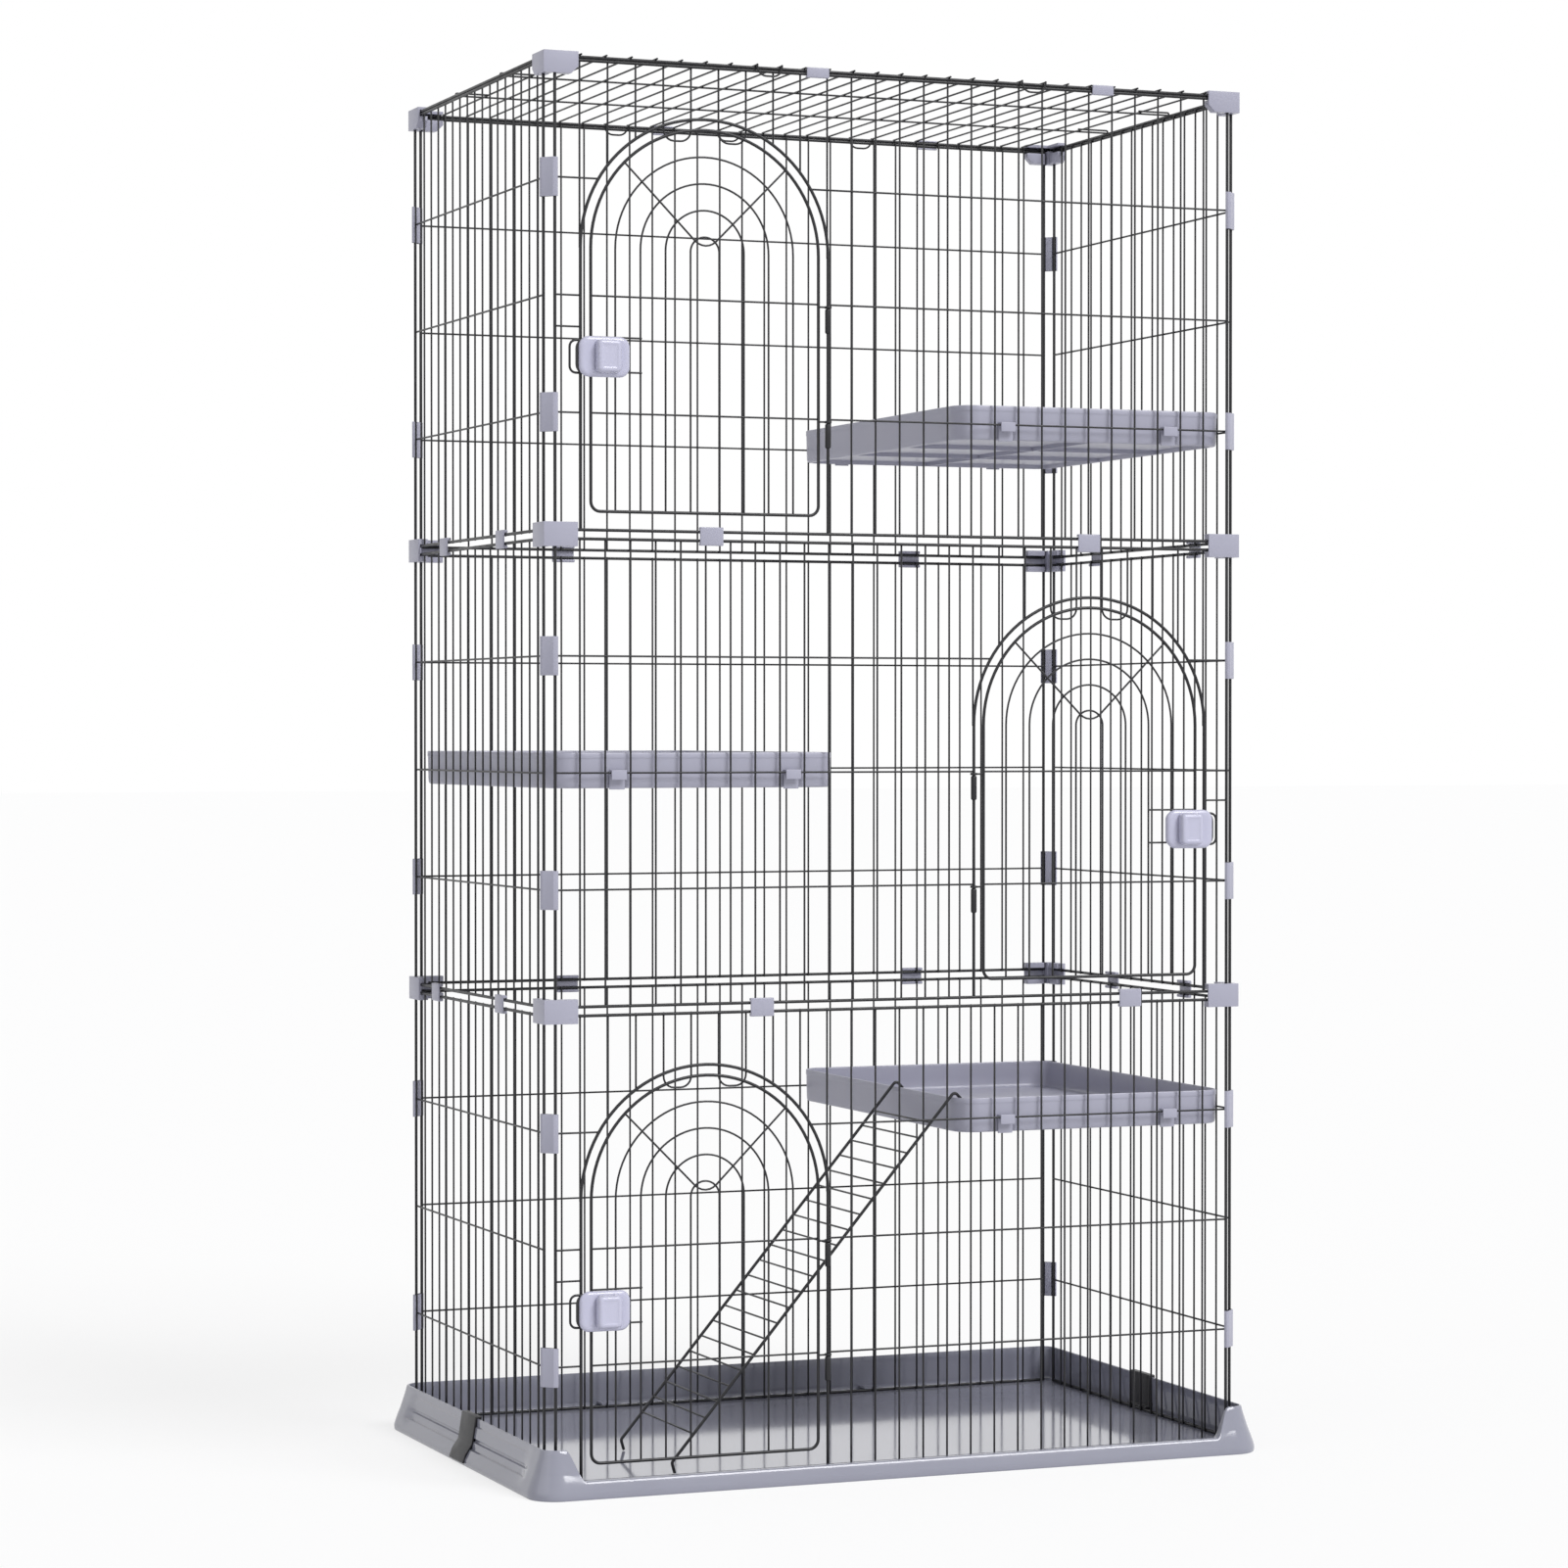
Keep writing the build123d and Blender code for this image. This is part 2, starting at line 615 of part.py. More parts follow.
def roof_panel():
    """The roof: a frame on the walls' top bars, 27 wires from front to back, 2 across, and its hooks."""
    pitch = cage_width / bays_back
    reach = half_depth + roof_nub
    with BuildPart() as long_bars:
        spots = [(-half_depth, roof_level), (half_depth, roof_level)]
        rods(Plane.YZ.offset(-side_wall_x - bar / 2), spots, 2 * side_wall_x + bar, bar)
    front = wall_plane("front", roof_level)
    deep = Plane(origin=(0, -half_depth + bar / 2, roof_level), x_dir=(0, 0, 1), z_dir=(0, 1, 0))
    with BuildPart() as side_bars:
        rods(deep, [(0, -side_wall_x), (0, side_wall_x)], cage_depth - bar, bar)
    with BuildPart() as wires:
        places = [pitch * bay - half_width for bay in range(1, bays_back)]
        start = Plane(origin=(0, -reach, roof_level), x_dir=(0, 0, 1), z_dir=(0, 1, 0))
        rods(start, [(upright_inset, place) for place in places], 2 * reach, wire)
    with BuildPart() as crosses:
        start = Plane.YZ.offset(-side_wall_x + bar / 2)
        rods(
            start,
            [(-cage_depth / 6, roof_level + cross_inset), (cage_depth / 6, roof_level + cross_inset)],
            2 * side_wall_x - bar,
            wire,
        )
    with BuildPart() as hooks:
        drop = upright_inset + wire / 2
        hangs = [(front.offset(roof_nub + wire / 2), bay, 1) for bay in front_hook_bays]
        back = wall_plane("back", roof_level)
        hangs += [(back.offset(roof_nub + wire / 2), bay, -1) for bay in back_hook_bays]
        for plane, bay, turn in hangs:
            near = turn * (pitch * bay - half_width)
            far = turn * (pitch * (bay + 1) - half_width)
            low = drop - roof_hook_drop
            with BuildLine() as path:
                Polyline(*eased([(near, drop), (near, low), (far, low), (far, drop)], roof_hook_radius))
            bent(plane, path.line, wire)
    write("roof_panel", long_bars, side_bars, wires, crosses, hooks)


def roof_clips():
    """Four clips that hold the roof's front and back bars down on the walls."""
    pitch = cage_width / bays_back
    with BuildPart() as clips:
        for side in ("front", "back"):
            wall = wall_plane(side, roof_level)
            for bay in roof_clip_bays:
                place = pitch * (bay + 0.5) - half_width
                along = place if side == "front" else -place
                channel(wall, along, roof_clip_size[0], -roof_rise, 0, roof_clip_size[1])
    write("roof_clips", clips)


def shelf_level(tier):
    """Height of the cross wires that a tier's shelf hangs on."""
    return tier_base(tier) + cross_heights[shelf_quarters[tier] - 1]


def shelf(tier, hand):
    """A moulded shelf: a shallow tray with rounded corners and pockets between the ribs of its underside."""
    width, depth, height = shelf_size
    centre = hand * (side_wall_x - shelf_end_gap - width / 2)
    foot = shelf_level(tier) - shelf_drop
    pocket_depth = shelf_floor - shelf_floor_thickness
    with BuildPart() as tray:
        with BuildSketch(Plane.XY.offset(foot)):
            with Locations((centre, 0)):
                RectangleRounded(width, depth, shelf_corner)
        extrude(amount=height)
        with BuildSketch(Plane.XY.offset(foot + shelf_floor)):
            with Locations((centre, 0)):
                RectangleRounded(width - 2 * shelf_wall, depth - 2 * shelf_wall, shelf_corner - shelf_wall)
        extrude(amount=height - shelf_floor, mode=Mode.SUBTRACT)
        with BuildSketch(Plane.XY.offset(foot)):
            with Locations((centre, 0)):
                with GridLocations((width - 20) / 2, (depth - 20) / 3, 2, 3):
                    Rectangle((width - 20) / 2 - shelf_wall, (depth - 20) / 3 - shelf_wall)
        extrude(amount=pocket_depth, mode=Mode.SUBTRACT)
    write(f"shelf_{tier_names[tier]}", tray)


def shelf_clips(tier, hand):
    """Four hooks between a shelf's front and back walls and the cross wires that carry it."""
    level_height = shelf_level(tier)
    face = shelf_size[1] / 2
    top = wire / 2 + shelf_clip_thickness
    outer = half_depth - cross_inset + wire / 2 + shelf_clip_thickness
    points = [
        (face, top),
        (outer, top),
        (outer, top - shelf_clip_height / 2),
        (outer - shelf_clip_thickness, top - shelf_clip_height / 2),
        (outer - shelf_clip_thickness, wire / 2),
        (face + shelf_clip_thickness, wire / 2),
        (face + shelf_clip_thickness, top - shelf_clip_height),
        (face, top - shelf_clip_height),
    ]
    with BuildPart() as clips:
        for place in shelf_clip_places:
            middle = hand * place
            for turn in (-1, 1):
                with BuildSketch(Plane.YZ.offset(middle - shelf_clip_width / 2)) as section:
                    Polygon(*[(turn * across, level_height + rise) for across, rise in points], align=None)
                extrude(section.sketch, amount=shelf_clip_width)
    write(f"shelf_clips_{tier_names[tier]}", clips)


def ladder():
    """The ladder: two stringers that hook over the lower shelf's rim, and rungs that butt between them."""
    rim_x = side_wall_x - shelf_end_gap - shelf_size[0]
    rim_top = shelf_level(0) - shelf_drop + shelf_size[2]
    apex = (rim_x + ladder_apex_inset, rim_top + ladder_apex_rise)
    tread = bar / 2 * ladder_foot[0] / hypot(*ladder_foot)
    foot_end = (apex[0] - ladder_lean + ladder_foot[0], floor_top + ladder_foot_gap + tread)
    ankle = (apex[0] - ladder_lean, foot_end[1] - ladder_foot[1])
    tip = (apex[0] + ladder_tip[0], apex[1] + ladder_tip[1])
    with BuildPart() as stringers:
        for place in (ladder_front, ladder_front + ladder_width):
            side = Plane(origin=(0, place, 0), x_dir=(1, 0, 0), z_dir=(0, -1, 0))
            with BuildLine() as path:
                Polyline(*eased([foot_end, ankle, apex, tip], ladder_bend))
            bent(side, path.line, bar)
    write("ladder_stringers", stringers)

    slope = hypot(apex[0] - ankle[0], apex[1] - ankle[1])
    along_x = (apex[0] - ankle[0]) / slope
    along_z = (apex[1] - ankle[1]) / slope
    start = Plane(origin=(0, ladder_front + bar / 2, 0), x_dir=(1, 0, 0), z_dir=(0, 1, 0))
    with BuildPart() as rungs:
        spots = []
        for rung in range(rung_count):
            distance = rung_start + rung_pitch * rung
            spots.append((ankle[0] + along_x * distance, -(ankle[1] + along_z * distance)))
        rods(start, spots, ladder_width - bar, wire)
    write("ladder_rungs", rungs)


def tray_section(outset, height):
    """Rounded rectangle of the tray at an outset from the walls' rectangle, its corners all concentric."""
    with BuildSketch(Plane.XY.offset(height)) as section:
        widest = max(outside for outside, _ in skirt_outside)
        RectangleRounded(cage_width + 2 * outset, cage_depth + 2 * outset, skirt_corner - widest + outset)
    return section.sketch


def base_tray():
    """The base tray: a flared skirt, low at the front, a floor with ribs below, and tabs over the back wall."""
    with BuildPart() as tray:
        loft([tray_section(outset, height) for outset, height in skirt_outside], ruled=True)
        loft([tray_section(outset, height) for outset, height in skirt_inside], ruled=True, mode=Mode.SUBTRACT)
        inner_half_depth = half_depth + skirt_inside[-1][0] - 5
        with BuildSketch(Plane(origin=(0, -inner_half_depth, 0), x_dir=(1, 0, 0), z_dir=(0, -1, 0))):
            above = skirt_outside[-1][1] + 1
            Polygon(
                (-window_half_bottom, window_bottom),
                (window_half_bottom, window_bottom),
                (window_half_top, above),
                (-window_half_top, above),
                align=None,
            )
        extrude(amount=skirt_corner + 10, mode=Mode.SUBTRACT)
        underside = floor_top - floor_thickness
        low_outset, low_height = skirt_outside[0]
        extrude(tray_section(low_outset - under_wall, low_height), amount=underside, mode=Mode.SUBTRACT)
        with BuildSketch(Plane.XY.offset(rib_clearance)):
            with GridLocations(cage_width / 5, 0, 4, 1):
                Rectangle(rib_thickness, cage_depth + 2 * low_outset - under_wall)
            with GridLocations(0, cage_depth / 3, 1, 2):
                Rectangle(cage_width + 2 * low_outset - under_wall, rib_thickness)
        extrude(amount=underside - rib_clearance)
        with BuildSketch(Plane.XY.offset(lowest_bar + bar / 2)):
            tab_end = half_depth + skirt_inside[0][0] + 1
            tab_start = half_depth - bar / 2
            with Locations(*[(place, (tab_start + tab_end) / 2) for place in tab_places]):
                Rectangle(tab_width, tab_end - tab_start)
        extrude(amount=tab_thickness)
    write("base_tray", tray)


def tray_buckle(hand, label):
    """A strap clip that follows the skirt from its foot, over its top edge and down to the side wall's bar."""
    near = [(outset + buckle_play, height) for outset, height in skirt_outside[1:]]
    top = skirt_outside[-1][1] + buckle_play
    near[-1] = (skirt_outside[-1][0] + buckle_play, top)
    inner = skirt_inside[-1][0] - buckle_play
    rest = lowest_bar + bar / 2
    far = [(outset + buckle_thickness, height) for outset, height in near]
    far[-1] = (far[-1][0], top + buckle_thickness)
    foot = skirt_outside[1][1] - 2
    points = [
        (near[0][0], foot),
        *near,
        (inner, top),
        (inner, rest),
        (corner_gap - bar / 2, rest),
        (corner_gap - bar / 2, rest + buckle_thickness),
        (inner - buckle_thickness, rest + buckle_thickness),
        (inner - buckle_thickness, top + buckle_thickness),
        *reversed(far),
        (far[0][0], foot),
    ]
    places = [(hand * (half_width + outset), height) for outset, height in points]
    with BuildPart() as buckle:
        with BuildSketch(Plane(origin=(0, buckle_width / 2, 0), x_dir=(1, 0, 0), z_dir=(0, -1, 0))):
            Polygon(*places, align=None)
        extrude(amount=buckle_width)
    write(label, buckle)


os.makedirs("parts", exist_ok=True)
base_tray()
tray_buckle(-1, "tray_buckle_left")
tray_buckle(1, "tray_buckle_right")
for tier, name in enumerate(tier_names):
    front_wall(tier, latch_sides[tier])
    opening_hoop(tier, latch_sides[tier])
    plain_wall(f"back_wall_{name}", "back", tier, cage_width, bays_back)
    plain_wall(f"left_wall_{name}", "left", tier, side_wall_width, bays_side)
    plain_wall(f"right_wall_{name}", "right", tier, side_wall_width, bays_side)
    door_leaf(tier, latch_sides[tier])
    latch(tier, latch_sides[tier])
    corner_clips(tier)
    shelf(tier, shelf_sides[tier])
    shelf_clips(tier, shelf_sides[tier])
hinge_sleeves()
corners = {"front_left": (-1, -1), "front_right": (1, -1), "back_left": (-1, 1), "back_right": (1, 1)}
for corner, hands in corners.items():
    corner_connector(0, *hands, f"lower_connector_{corner}")
    corner_connector(1, *hands, f"upper_connector_{corner}")
    top_cap(*hands, f"top_cap_{corner}")
edge_clips(0, "edge_clips_lower", edge_clip_places["lower"])
edge_clips(1, "edge_clips_upper", edge_clip_places["upper"])
roof_panel()
roof_clips()
ladder()
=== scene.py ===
"""Looks of a three-tier wire cat cage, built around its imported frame.

Sizes are in millimetres, with X to the right, Y to the back and Z up, and become metres when a mesh is made.
Wires are round tubes carried along paths. Moulded parts are profiles carried round an outline, or copies of
the frame's own solids with their edges rounded.
"""

import json
import logging
import math
from dataclasses import dataclass, field
from enum import Enum

import bmesh
import bpy
import numpy as np
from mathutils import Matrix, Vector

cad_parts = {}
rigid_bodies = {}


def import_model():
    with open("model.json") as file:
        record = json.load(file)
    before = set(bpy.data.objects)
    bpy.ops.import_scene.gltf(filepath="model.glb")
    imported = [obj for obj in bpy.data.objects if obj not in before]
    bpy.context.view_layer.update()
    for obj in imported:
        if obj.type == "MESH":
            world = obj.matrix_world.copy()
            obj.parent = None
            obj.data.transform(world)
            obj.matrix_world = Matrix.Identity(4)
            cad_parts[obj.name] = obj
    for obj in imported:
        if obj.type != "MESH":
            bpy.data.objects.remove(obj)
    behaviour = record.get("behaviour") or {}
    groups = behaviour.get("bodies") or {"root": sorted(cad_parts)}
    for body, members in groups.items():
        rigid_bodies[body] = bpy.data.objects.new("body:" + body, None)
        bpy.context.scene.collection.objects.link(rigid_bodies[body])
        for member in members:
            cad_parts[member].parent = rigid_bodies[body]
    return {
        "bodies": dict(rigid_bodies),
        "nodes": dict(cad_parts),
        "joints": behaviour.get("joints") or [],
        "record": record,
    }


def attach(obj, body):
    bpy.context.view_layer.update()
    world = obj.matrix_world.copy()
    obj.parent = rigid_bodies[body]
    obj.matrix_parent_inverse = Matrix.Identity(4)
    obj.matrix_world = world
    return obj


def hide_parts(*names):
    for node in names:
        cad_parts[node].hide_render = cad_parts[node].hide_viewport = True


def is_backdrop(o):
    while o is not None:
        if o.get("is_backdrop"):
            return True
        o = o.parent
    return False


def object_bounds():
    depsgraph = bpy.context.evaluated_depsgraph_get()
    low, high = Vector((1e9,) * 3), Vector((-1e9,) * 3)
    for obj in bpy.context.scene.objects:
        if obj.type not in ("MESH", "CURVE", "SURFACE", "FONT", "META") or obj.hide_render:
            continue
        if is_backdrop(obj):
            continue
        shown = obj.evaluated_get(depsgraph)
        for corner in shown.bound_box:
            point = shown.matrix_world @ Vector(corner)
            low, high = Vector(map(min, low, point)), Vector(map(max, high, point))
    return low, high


LOG = logging.getLogger("cat_cage")
METRE = 0.001
UP = np.array([0.0, 0.0, 1.0])
BACKWARDS = np.array([0.0, 1.0, 0.0])

# Radii of the thick bars and the thin wires, and how far they sink into each other at a weld.
BAR = 2.0
WIRE = 1.25
WELD = 0.25

# How far outwards a wall's uprights and cross wires lie from the plane of its bars: both lie inside it.
UPRIGHT_DEPTH = -(BAR + WIRE - WELD)
CROSS_DEPTH = -(BAR - WIRE)

# The walls, from middle to middle of their bars, and the tiers.
CAGE_WIDTH = 924.0
CAGE_DEPTH = 557.5
SIDE_X = 473.0
SIDE_END_GAP = 11.0
TIER_HEIGHT = 575.0
TIER_STEP = 586.0
LOWEST_BAR = 15.0
ROOF_LEVEL = 1766.0
QUARTERS = tuple(TIER_HEIGHT * quarter / 4 for quarter in (1, 2, 3))

# The door openings: their distance from the end bar, their width, and the height of their arch's centre.
EDGE_BAY = 33.0
OPENING = 328.5
ARCH_HEIGHT = 346.5

# A wire's rounded end: distances along it and its radius there, both as shares of the full radius.
END_STEPS = np.array([0.0, 0.04, 0.25, 0.6])
END_RISE = np.array([0.0, 0.6, 0.9, 1.0])

# Angles in degrees. Edges past the first are drawn sharp on moulded parts, and past the second on copied ones.
# On a copied part, faces within the third are one flat face, and edges past the fourth are rounded.
MOULDED_ANGLE = 38.0
COPIED_ANGLE = 40.0
FLAT_ANGLE = 1.0
ROUNDED_ANGLE = 25.0
ROUNDED_STEPS = 3

# Gaps that are closed where points of a copied part, and of the tray, lie together.
COPIED_GAP = 0.01
TRAY_GAP = 0.002


class Side(Enum):
    """A side of the cage: its place, the way along it seen from outside, and the way outwards."""

    FRONT = ((0.0, -CAGE_DEPTH / 2), (1.0, 0.0), (0.0, -1.0))
    BACK = ((0.0, CAGE_DEPTH / 2), (-1.0, 0.0), (0.0, 1.0))
    LEFT = ((-SIDE_X, 0.0), (0.0, -1.0), (-1.0, 0.0))
    RIGHT = ((SIDE_X, 0.0), (0.0, 1.0), (1.0, 0.0))


class Tier(Enum):
    """A tier: its number from below, its door's latch side, and its shelf's side and cross wire."""

    LOWER = (0, -1, 1, 2)
    MIDDLE = (1, 1, -1, 1)
    UPPER = (2, -1, 1, 0)

    @property
    def label(self) -> str:
        """Name of the tier as the frame's nodes have it."""
        return self.name.lower()

    @property
    def base(self) -> float:
        """Height of the centre of the tier's bottom bars."""
        return LOWEST_BAR + self.value[0] * TIER_STEP

    @property
    def hand(self) -> int:
        """Side of the door's latch: -1 on the left, 1 on the right."""
        return self.value[1]

    @property
    def shelf_hand(self) -> int:
        """Side of the shelf: -1 on the left, 1 on the right."""
        return self.value[2]

    @property
    def shelf_wire(self) -> float:
        """Height over the base of the cross wire that carries the shelf."""
        return QUARTERS[self.value[3]]

    def front(self, distance: float) -> float:
        """Place along the front wall of a distance from the end bar on the latch side."""
        return self.hand * (CAGE_WIDTH / 2 - distance)


@dataclass
class Skin:
    """Points and faces gathered for one mesh, in millimetres."""

    points: list[np.ndarray] = field(default_factory=list)
    faces: list[np.ndarray] = field(default_factory=list)
    count: int = 0

    def add(self, points: np.ndarray, *blocks: np.ndarray) -> None:
        """Add points, and blocks of faces that number those points from nought.

        Args:
            points: Rows of x, y and z.
            blocks: Integer arrays with a face to a row.
        """
        self.points.append(points.reshape(-1, 3))
        self.faces += [block + self.count for block in blocks]
        self.count += len(self.points[-1])

    def piece(self, name: str, sharp: float = 50.0) -> bpy.types.Object:
        """Make an object of what was gathered.

        Args:
            name: Name of the object.
            sharp: Angle in degrees past which an edge is drawn sharp.

        Returns:
            The new object, at the origin, with its place in its mesh.
        """
        mesh = bpy.data.meshes.new(name)
        rows = [row for block in self.faces for row in block.tolist()]
        mesh.from_pydata((np.concatenate(self.points) * METRE).tolist(), [], rows)
        mesh.validate()
        mesh.polygons.foreach_set("use_smooth", np.ones(len(mesh.polygons), dtype=bool))
        mesh.set_sharp_from_angle(angle=math.radians(sharp))
        made = bpy.data.objects.new(name, mesh)
        bpy.context.scene.collection.objects.link(made)
        return made


def unit(vectors: np.ndarray) -> np.ndarray:
    """Scale each vector to a length of one."""
    return vectors / np.linalg.norm(vectors, axis=-1, keepdims=True)


def ring_faces(rings: int, around: int, closed: bool) -> np.ndarray:
    """Number the four-sided faces between rings of points.

    Ring j, point k has the number j * around + k. A face takes k and k + 1 on ring j, then on ring j + 1.

    Args:
        rings: How many rings there are.
        around: How many points each has.
        closed: Whether the last ring joins the first.

    Returns:
        One row of four numbers to a face.
    """
    spans = rings if closed else rings - 1
    ring, step = np.meshgrid(np.arange(spans), np.arange(around), indexing="ij")
    ahead = (step + 1) % around
    above = (ring + 1) % rings
    corners = [ring * around + step, ring * around + ahead, above * around + ahead, above * around + step]
    return np.stack(corners, axis=-1).reshape(-1, 4)


def fan(around: int, first: int, pole: int, turned: bool) -> np.ndarray:
    """Number the triangles between a ring and a pole point.

    Args:
        around: How many points the ring has.
        first: Number of the ring's first point.
        pole: Number of the pole.
        turned: Whether the triangles face back along the rings.

    Returns:
        One row of three numbers to a face.
    """
    here = np.arange(around)
    ahead = (here + 1) % around
    pair = (ahead, here) if turned else (here, ahead)
    return np.stack([np.full(around, pole), pair[0] + first, pair[1] + first], axis=-1)


def tube(
    skin: Skin, line: np.ndarray, radii: np.ndarray, normal: np.ndarray, sides: int, closed: bool
) -> None:
    """Add a round tube.

    A ring point is line + r (cos(a) n + sin(a) (t x n)), with t along the line and n across it.

    Args:
        skin: Where the tube goes.
        line: Points along its middle; unless it is closed, the first and the last are its end poles.
        radii: Radius at each point.
        normal: Direction that the whole line lies square to.
        sides: Points round the tube.
        closed: Whether the line runs back into its start.
    """
    if closed:
        ahead = np.roll(line, -1, axis=0) - np.roll(line, 1, axis=0)
    else:
        ahead = np.gradient(line, axis=0)
    ahead = unit(ahead)
    across = np.broadcast_to(normal, line.shape)
    other = unit(np.cross(ahead, across))
    turn = np.arange(sides) * 2 * np.pi / sides
    spokes = np.cos(turn)[:, None] * across[:, None, :] + np.sin(turn)[:, None] * other[:, None, :]
    rings = line[:, None, :] + radii[:, None, None] * spokes
    if closed:
        skin.add(rings, ring_faces(len(line), sides, True))
        return
    inner = rings[1:-1]
    body = inner.reshape(-1, 3)
    last = (len(inner) - 1) * sides
    points = np.concatenate([body, line[:1], line[-1:]])
    start = fan(sides, 0, len(body), True)
    end = fan(sides, last, len(body) + 1, False)
    skin.add(points, ring_faces(len(inner), sides, False), start, end)


def capped(line: np.ndarray, radius: float) -> tuple[np.ndarray, np.ndarray]:
    """Give a line softly rounded ends, where the radius rises from nought over six tenths of itself.

    Args:
        line: Points along a wire's middle.
        radius: The wire's radius.

    Returns:
        The line with more points at its ends, and the radius at each point.
    """
    steps = END_STEPS * radius
    rise = END_RISE * radius
    start = line[0] + steps[:, None] * unit(line[1] - line[0])
    end = line[-1] + steps[::-1, None] * unit(line[-2] - line[-1])
    radii = np.concatenate([rise, np.full(len(line) - 2, radius), rise[::-1]])
    return np.concatenate([start, line[1:-1], end]), radii


def wire(skin: Skin, line: np.ndarray, radius: float, normal: np.ndarray, sides: int = 10) -> None:
    """Add one wire with rounded ends along a flat line."""
    path, radii = capped(line, radius)
    tube(skin, path, radii, normal, sides, False)


def rounded(corners: np.ndarray, radius: float, steps: int = 7) -> np.ndarray:
    """Round the inner corners of a run.

    An arc about c, from c + a to c + b through the angle w, has the points
    c + (sin((1 - s) w) a + sin(s w) b) / sin(w).

    Args:
        corners: Points of the run.
        radius: Radius of each bend.
        steps: Points in each bend.

    Returns:
        Points along the run with its bends.
    """
    parts = [corners[:1]]
    share = np.linspace(0, 1, steps)[:, None]
    for before, corner, after in zip(corners, corners[1:], corners[2:]):
        back = unit(before - corner)
        ahead = unit(after - corner)
        half = np.arccos(np.clip(back @ ahead, -1, 1)) / 2
        centre = corner + unit(back + ahead) * radius / np.sin(half)
        first = corner + back * radius / np.tan(half) - centre
        last = corner + ahead * radius / np.tan(half) - centre
        swing = np.pi - 2 * half
        arc = (np.sin((1 - share) * swing) * first + np.sin(share * swing) * last) / np.sin(swing)
        parts.append(centre + arc)
    return np.concatenate(parts + [corners[-1:]])


def half_circle(centre: tuple[float, float], radius: float, steps: int = 49) -> np.ndarray:
    """Points of the upper half of a circle, from its right end over to its left end."""
    turn = np.linspace(0, np.pi, steps)
    return np.stack([centre[0] + radius * np.cos(turn), centre[1] + radius * np.sin(turn)], axis=-1)


def outline(width: float, depth: float, corner: float, steps: int = 8) -> np.ndarray:
    """Points round a rectangle with round corners, anticlockwise. An arc point is c + r (cos(a), sin(a)).

    Args:
        width: Its size along x.
        depth: Its size along y.
        corner: Radius of its corners.
        steps: Points in each corner.

    Returns:
        Rows of x and y.
    """
    turn = np.linspace(0, np.pi / 2, steps)
    arcs = []
    for number, (x, y) in enumerate(((1, 1), (-1, 1), (-1, -1), (1, -1))):
        swing = turn + number * np.pi / 2
        middle = np.array([x * (width / 2 - corner), y * (depth / 2 - corner)])
        arcs.append(middle + corner * np.stack([np.cos(swing), np.sin(swing)], axis=-1))
    return np.concatenate(arcs)


def boxes(skin: Skin, lows: list[tuple], highs: list[tuple]) -> None:
    """Add upright boxes between pairs of opposite corners.

    Args:
        skin: Where the boxes go.
        lows: The corner of each with the least x, y and z.
        highs: The corner of each with the most.
    """
    picks = np.array([(0, 0, 0), (1, 0, 0), (1, 1, 0), (0, 1, 0), (0, 0, 1), (1, 0, 1), (1, 1, 1), (0, 1, 1)])
    sides = np.array([(0, 3, 2, 1), (4, 5, 6, 7), (0, 1, 5, 4), (1, 2, 6, 5), (2, 3, 7, 6), (3, 0, 4, 7)])
    for low, high in zip(lows, highs):
        skin.add(np.where(picks == 1, high, low), sides)


@dataclass(frozen=True)
class Wall:
    """The flat plane of one wall's bars on one tier."""

    side: Side
    base: float

    @property
    def normal(self) -> np.ndarray:
        """Direction outwards."""
        return np.array([*self.side.value[2], 0.0])

    @property
    def along(self) -> np.ndarray:
        """Direction along the wall."""
        return np.array([*self.side.value[1], 0.0])

    def at(self, flat: np.ndarray, depth: float = 0.0) -> np.ndarray:
        """Turn places on the wall into places in the cage.

        Args:
            flat: Rows of a distance along the wall and a height over its bottom bar.
            depth: How far outwards they lie.

        Returns:
            Rows of x, y and z.
        """
        flat = np.asarray(flat, dtype=float)
        start = np.array([*self.side.value[0], self.base])
        return start + flat[:, :1] * self.along + flat[:, 1:] * UP + depth * self.normal

    def upright(
        self, skin: Skin, place: float, low: float, high: float, radius: float = WIRE,
        depth: float = UPRIGHT_DEPTH,
    ) -> None:
        """Add an upright wire at a place, between two heights."""
        wire(skin, self.at([(place, low), (place, high)], depth), radius, self.normal)

    def level(
        self, skin: Skin, height: float, start: float, end: float, radius: float = WIRE,
        depth: float = CROSS_DEPTH,
    ) -> None:
        """Add a level wire at a height, between two places in either order."""
        low, high = sorted((start, end))
        wire(skin, self.at([(low, height), (high, height)], depth), radius, self.normal)


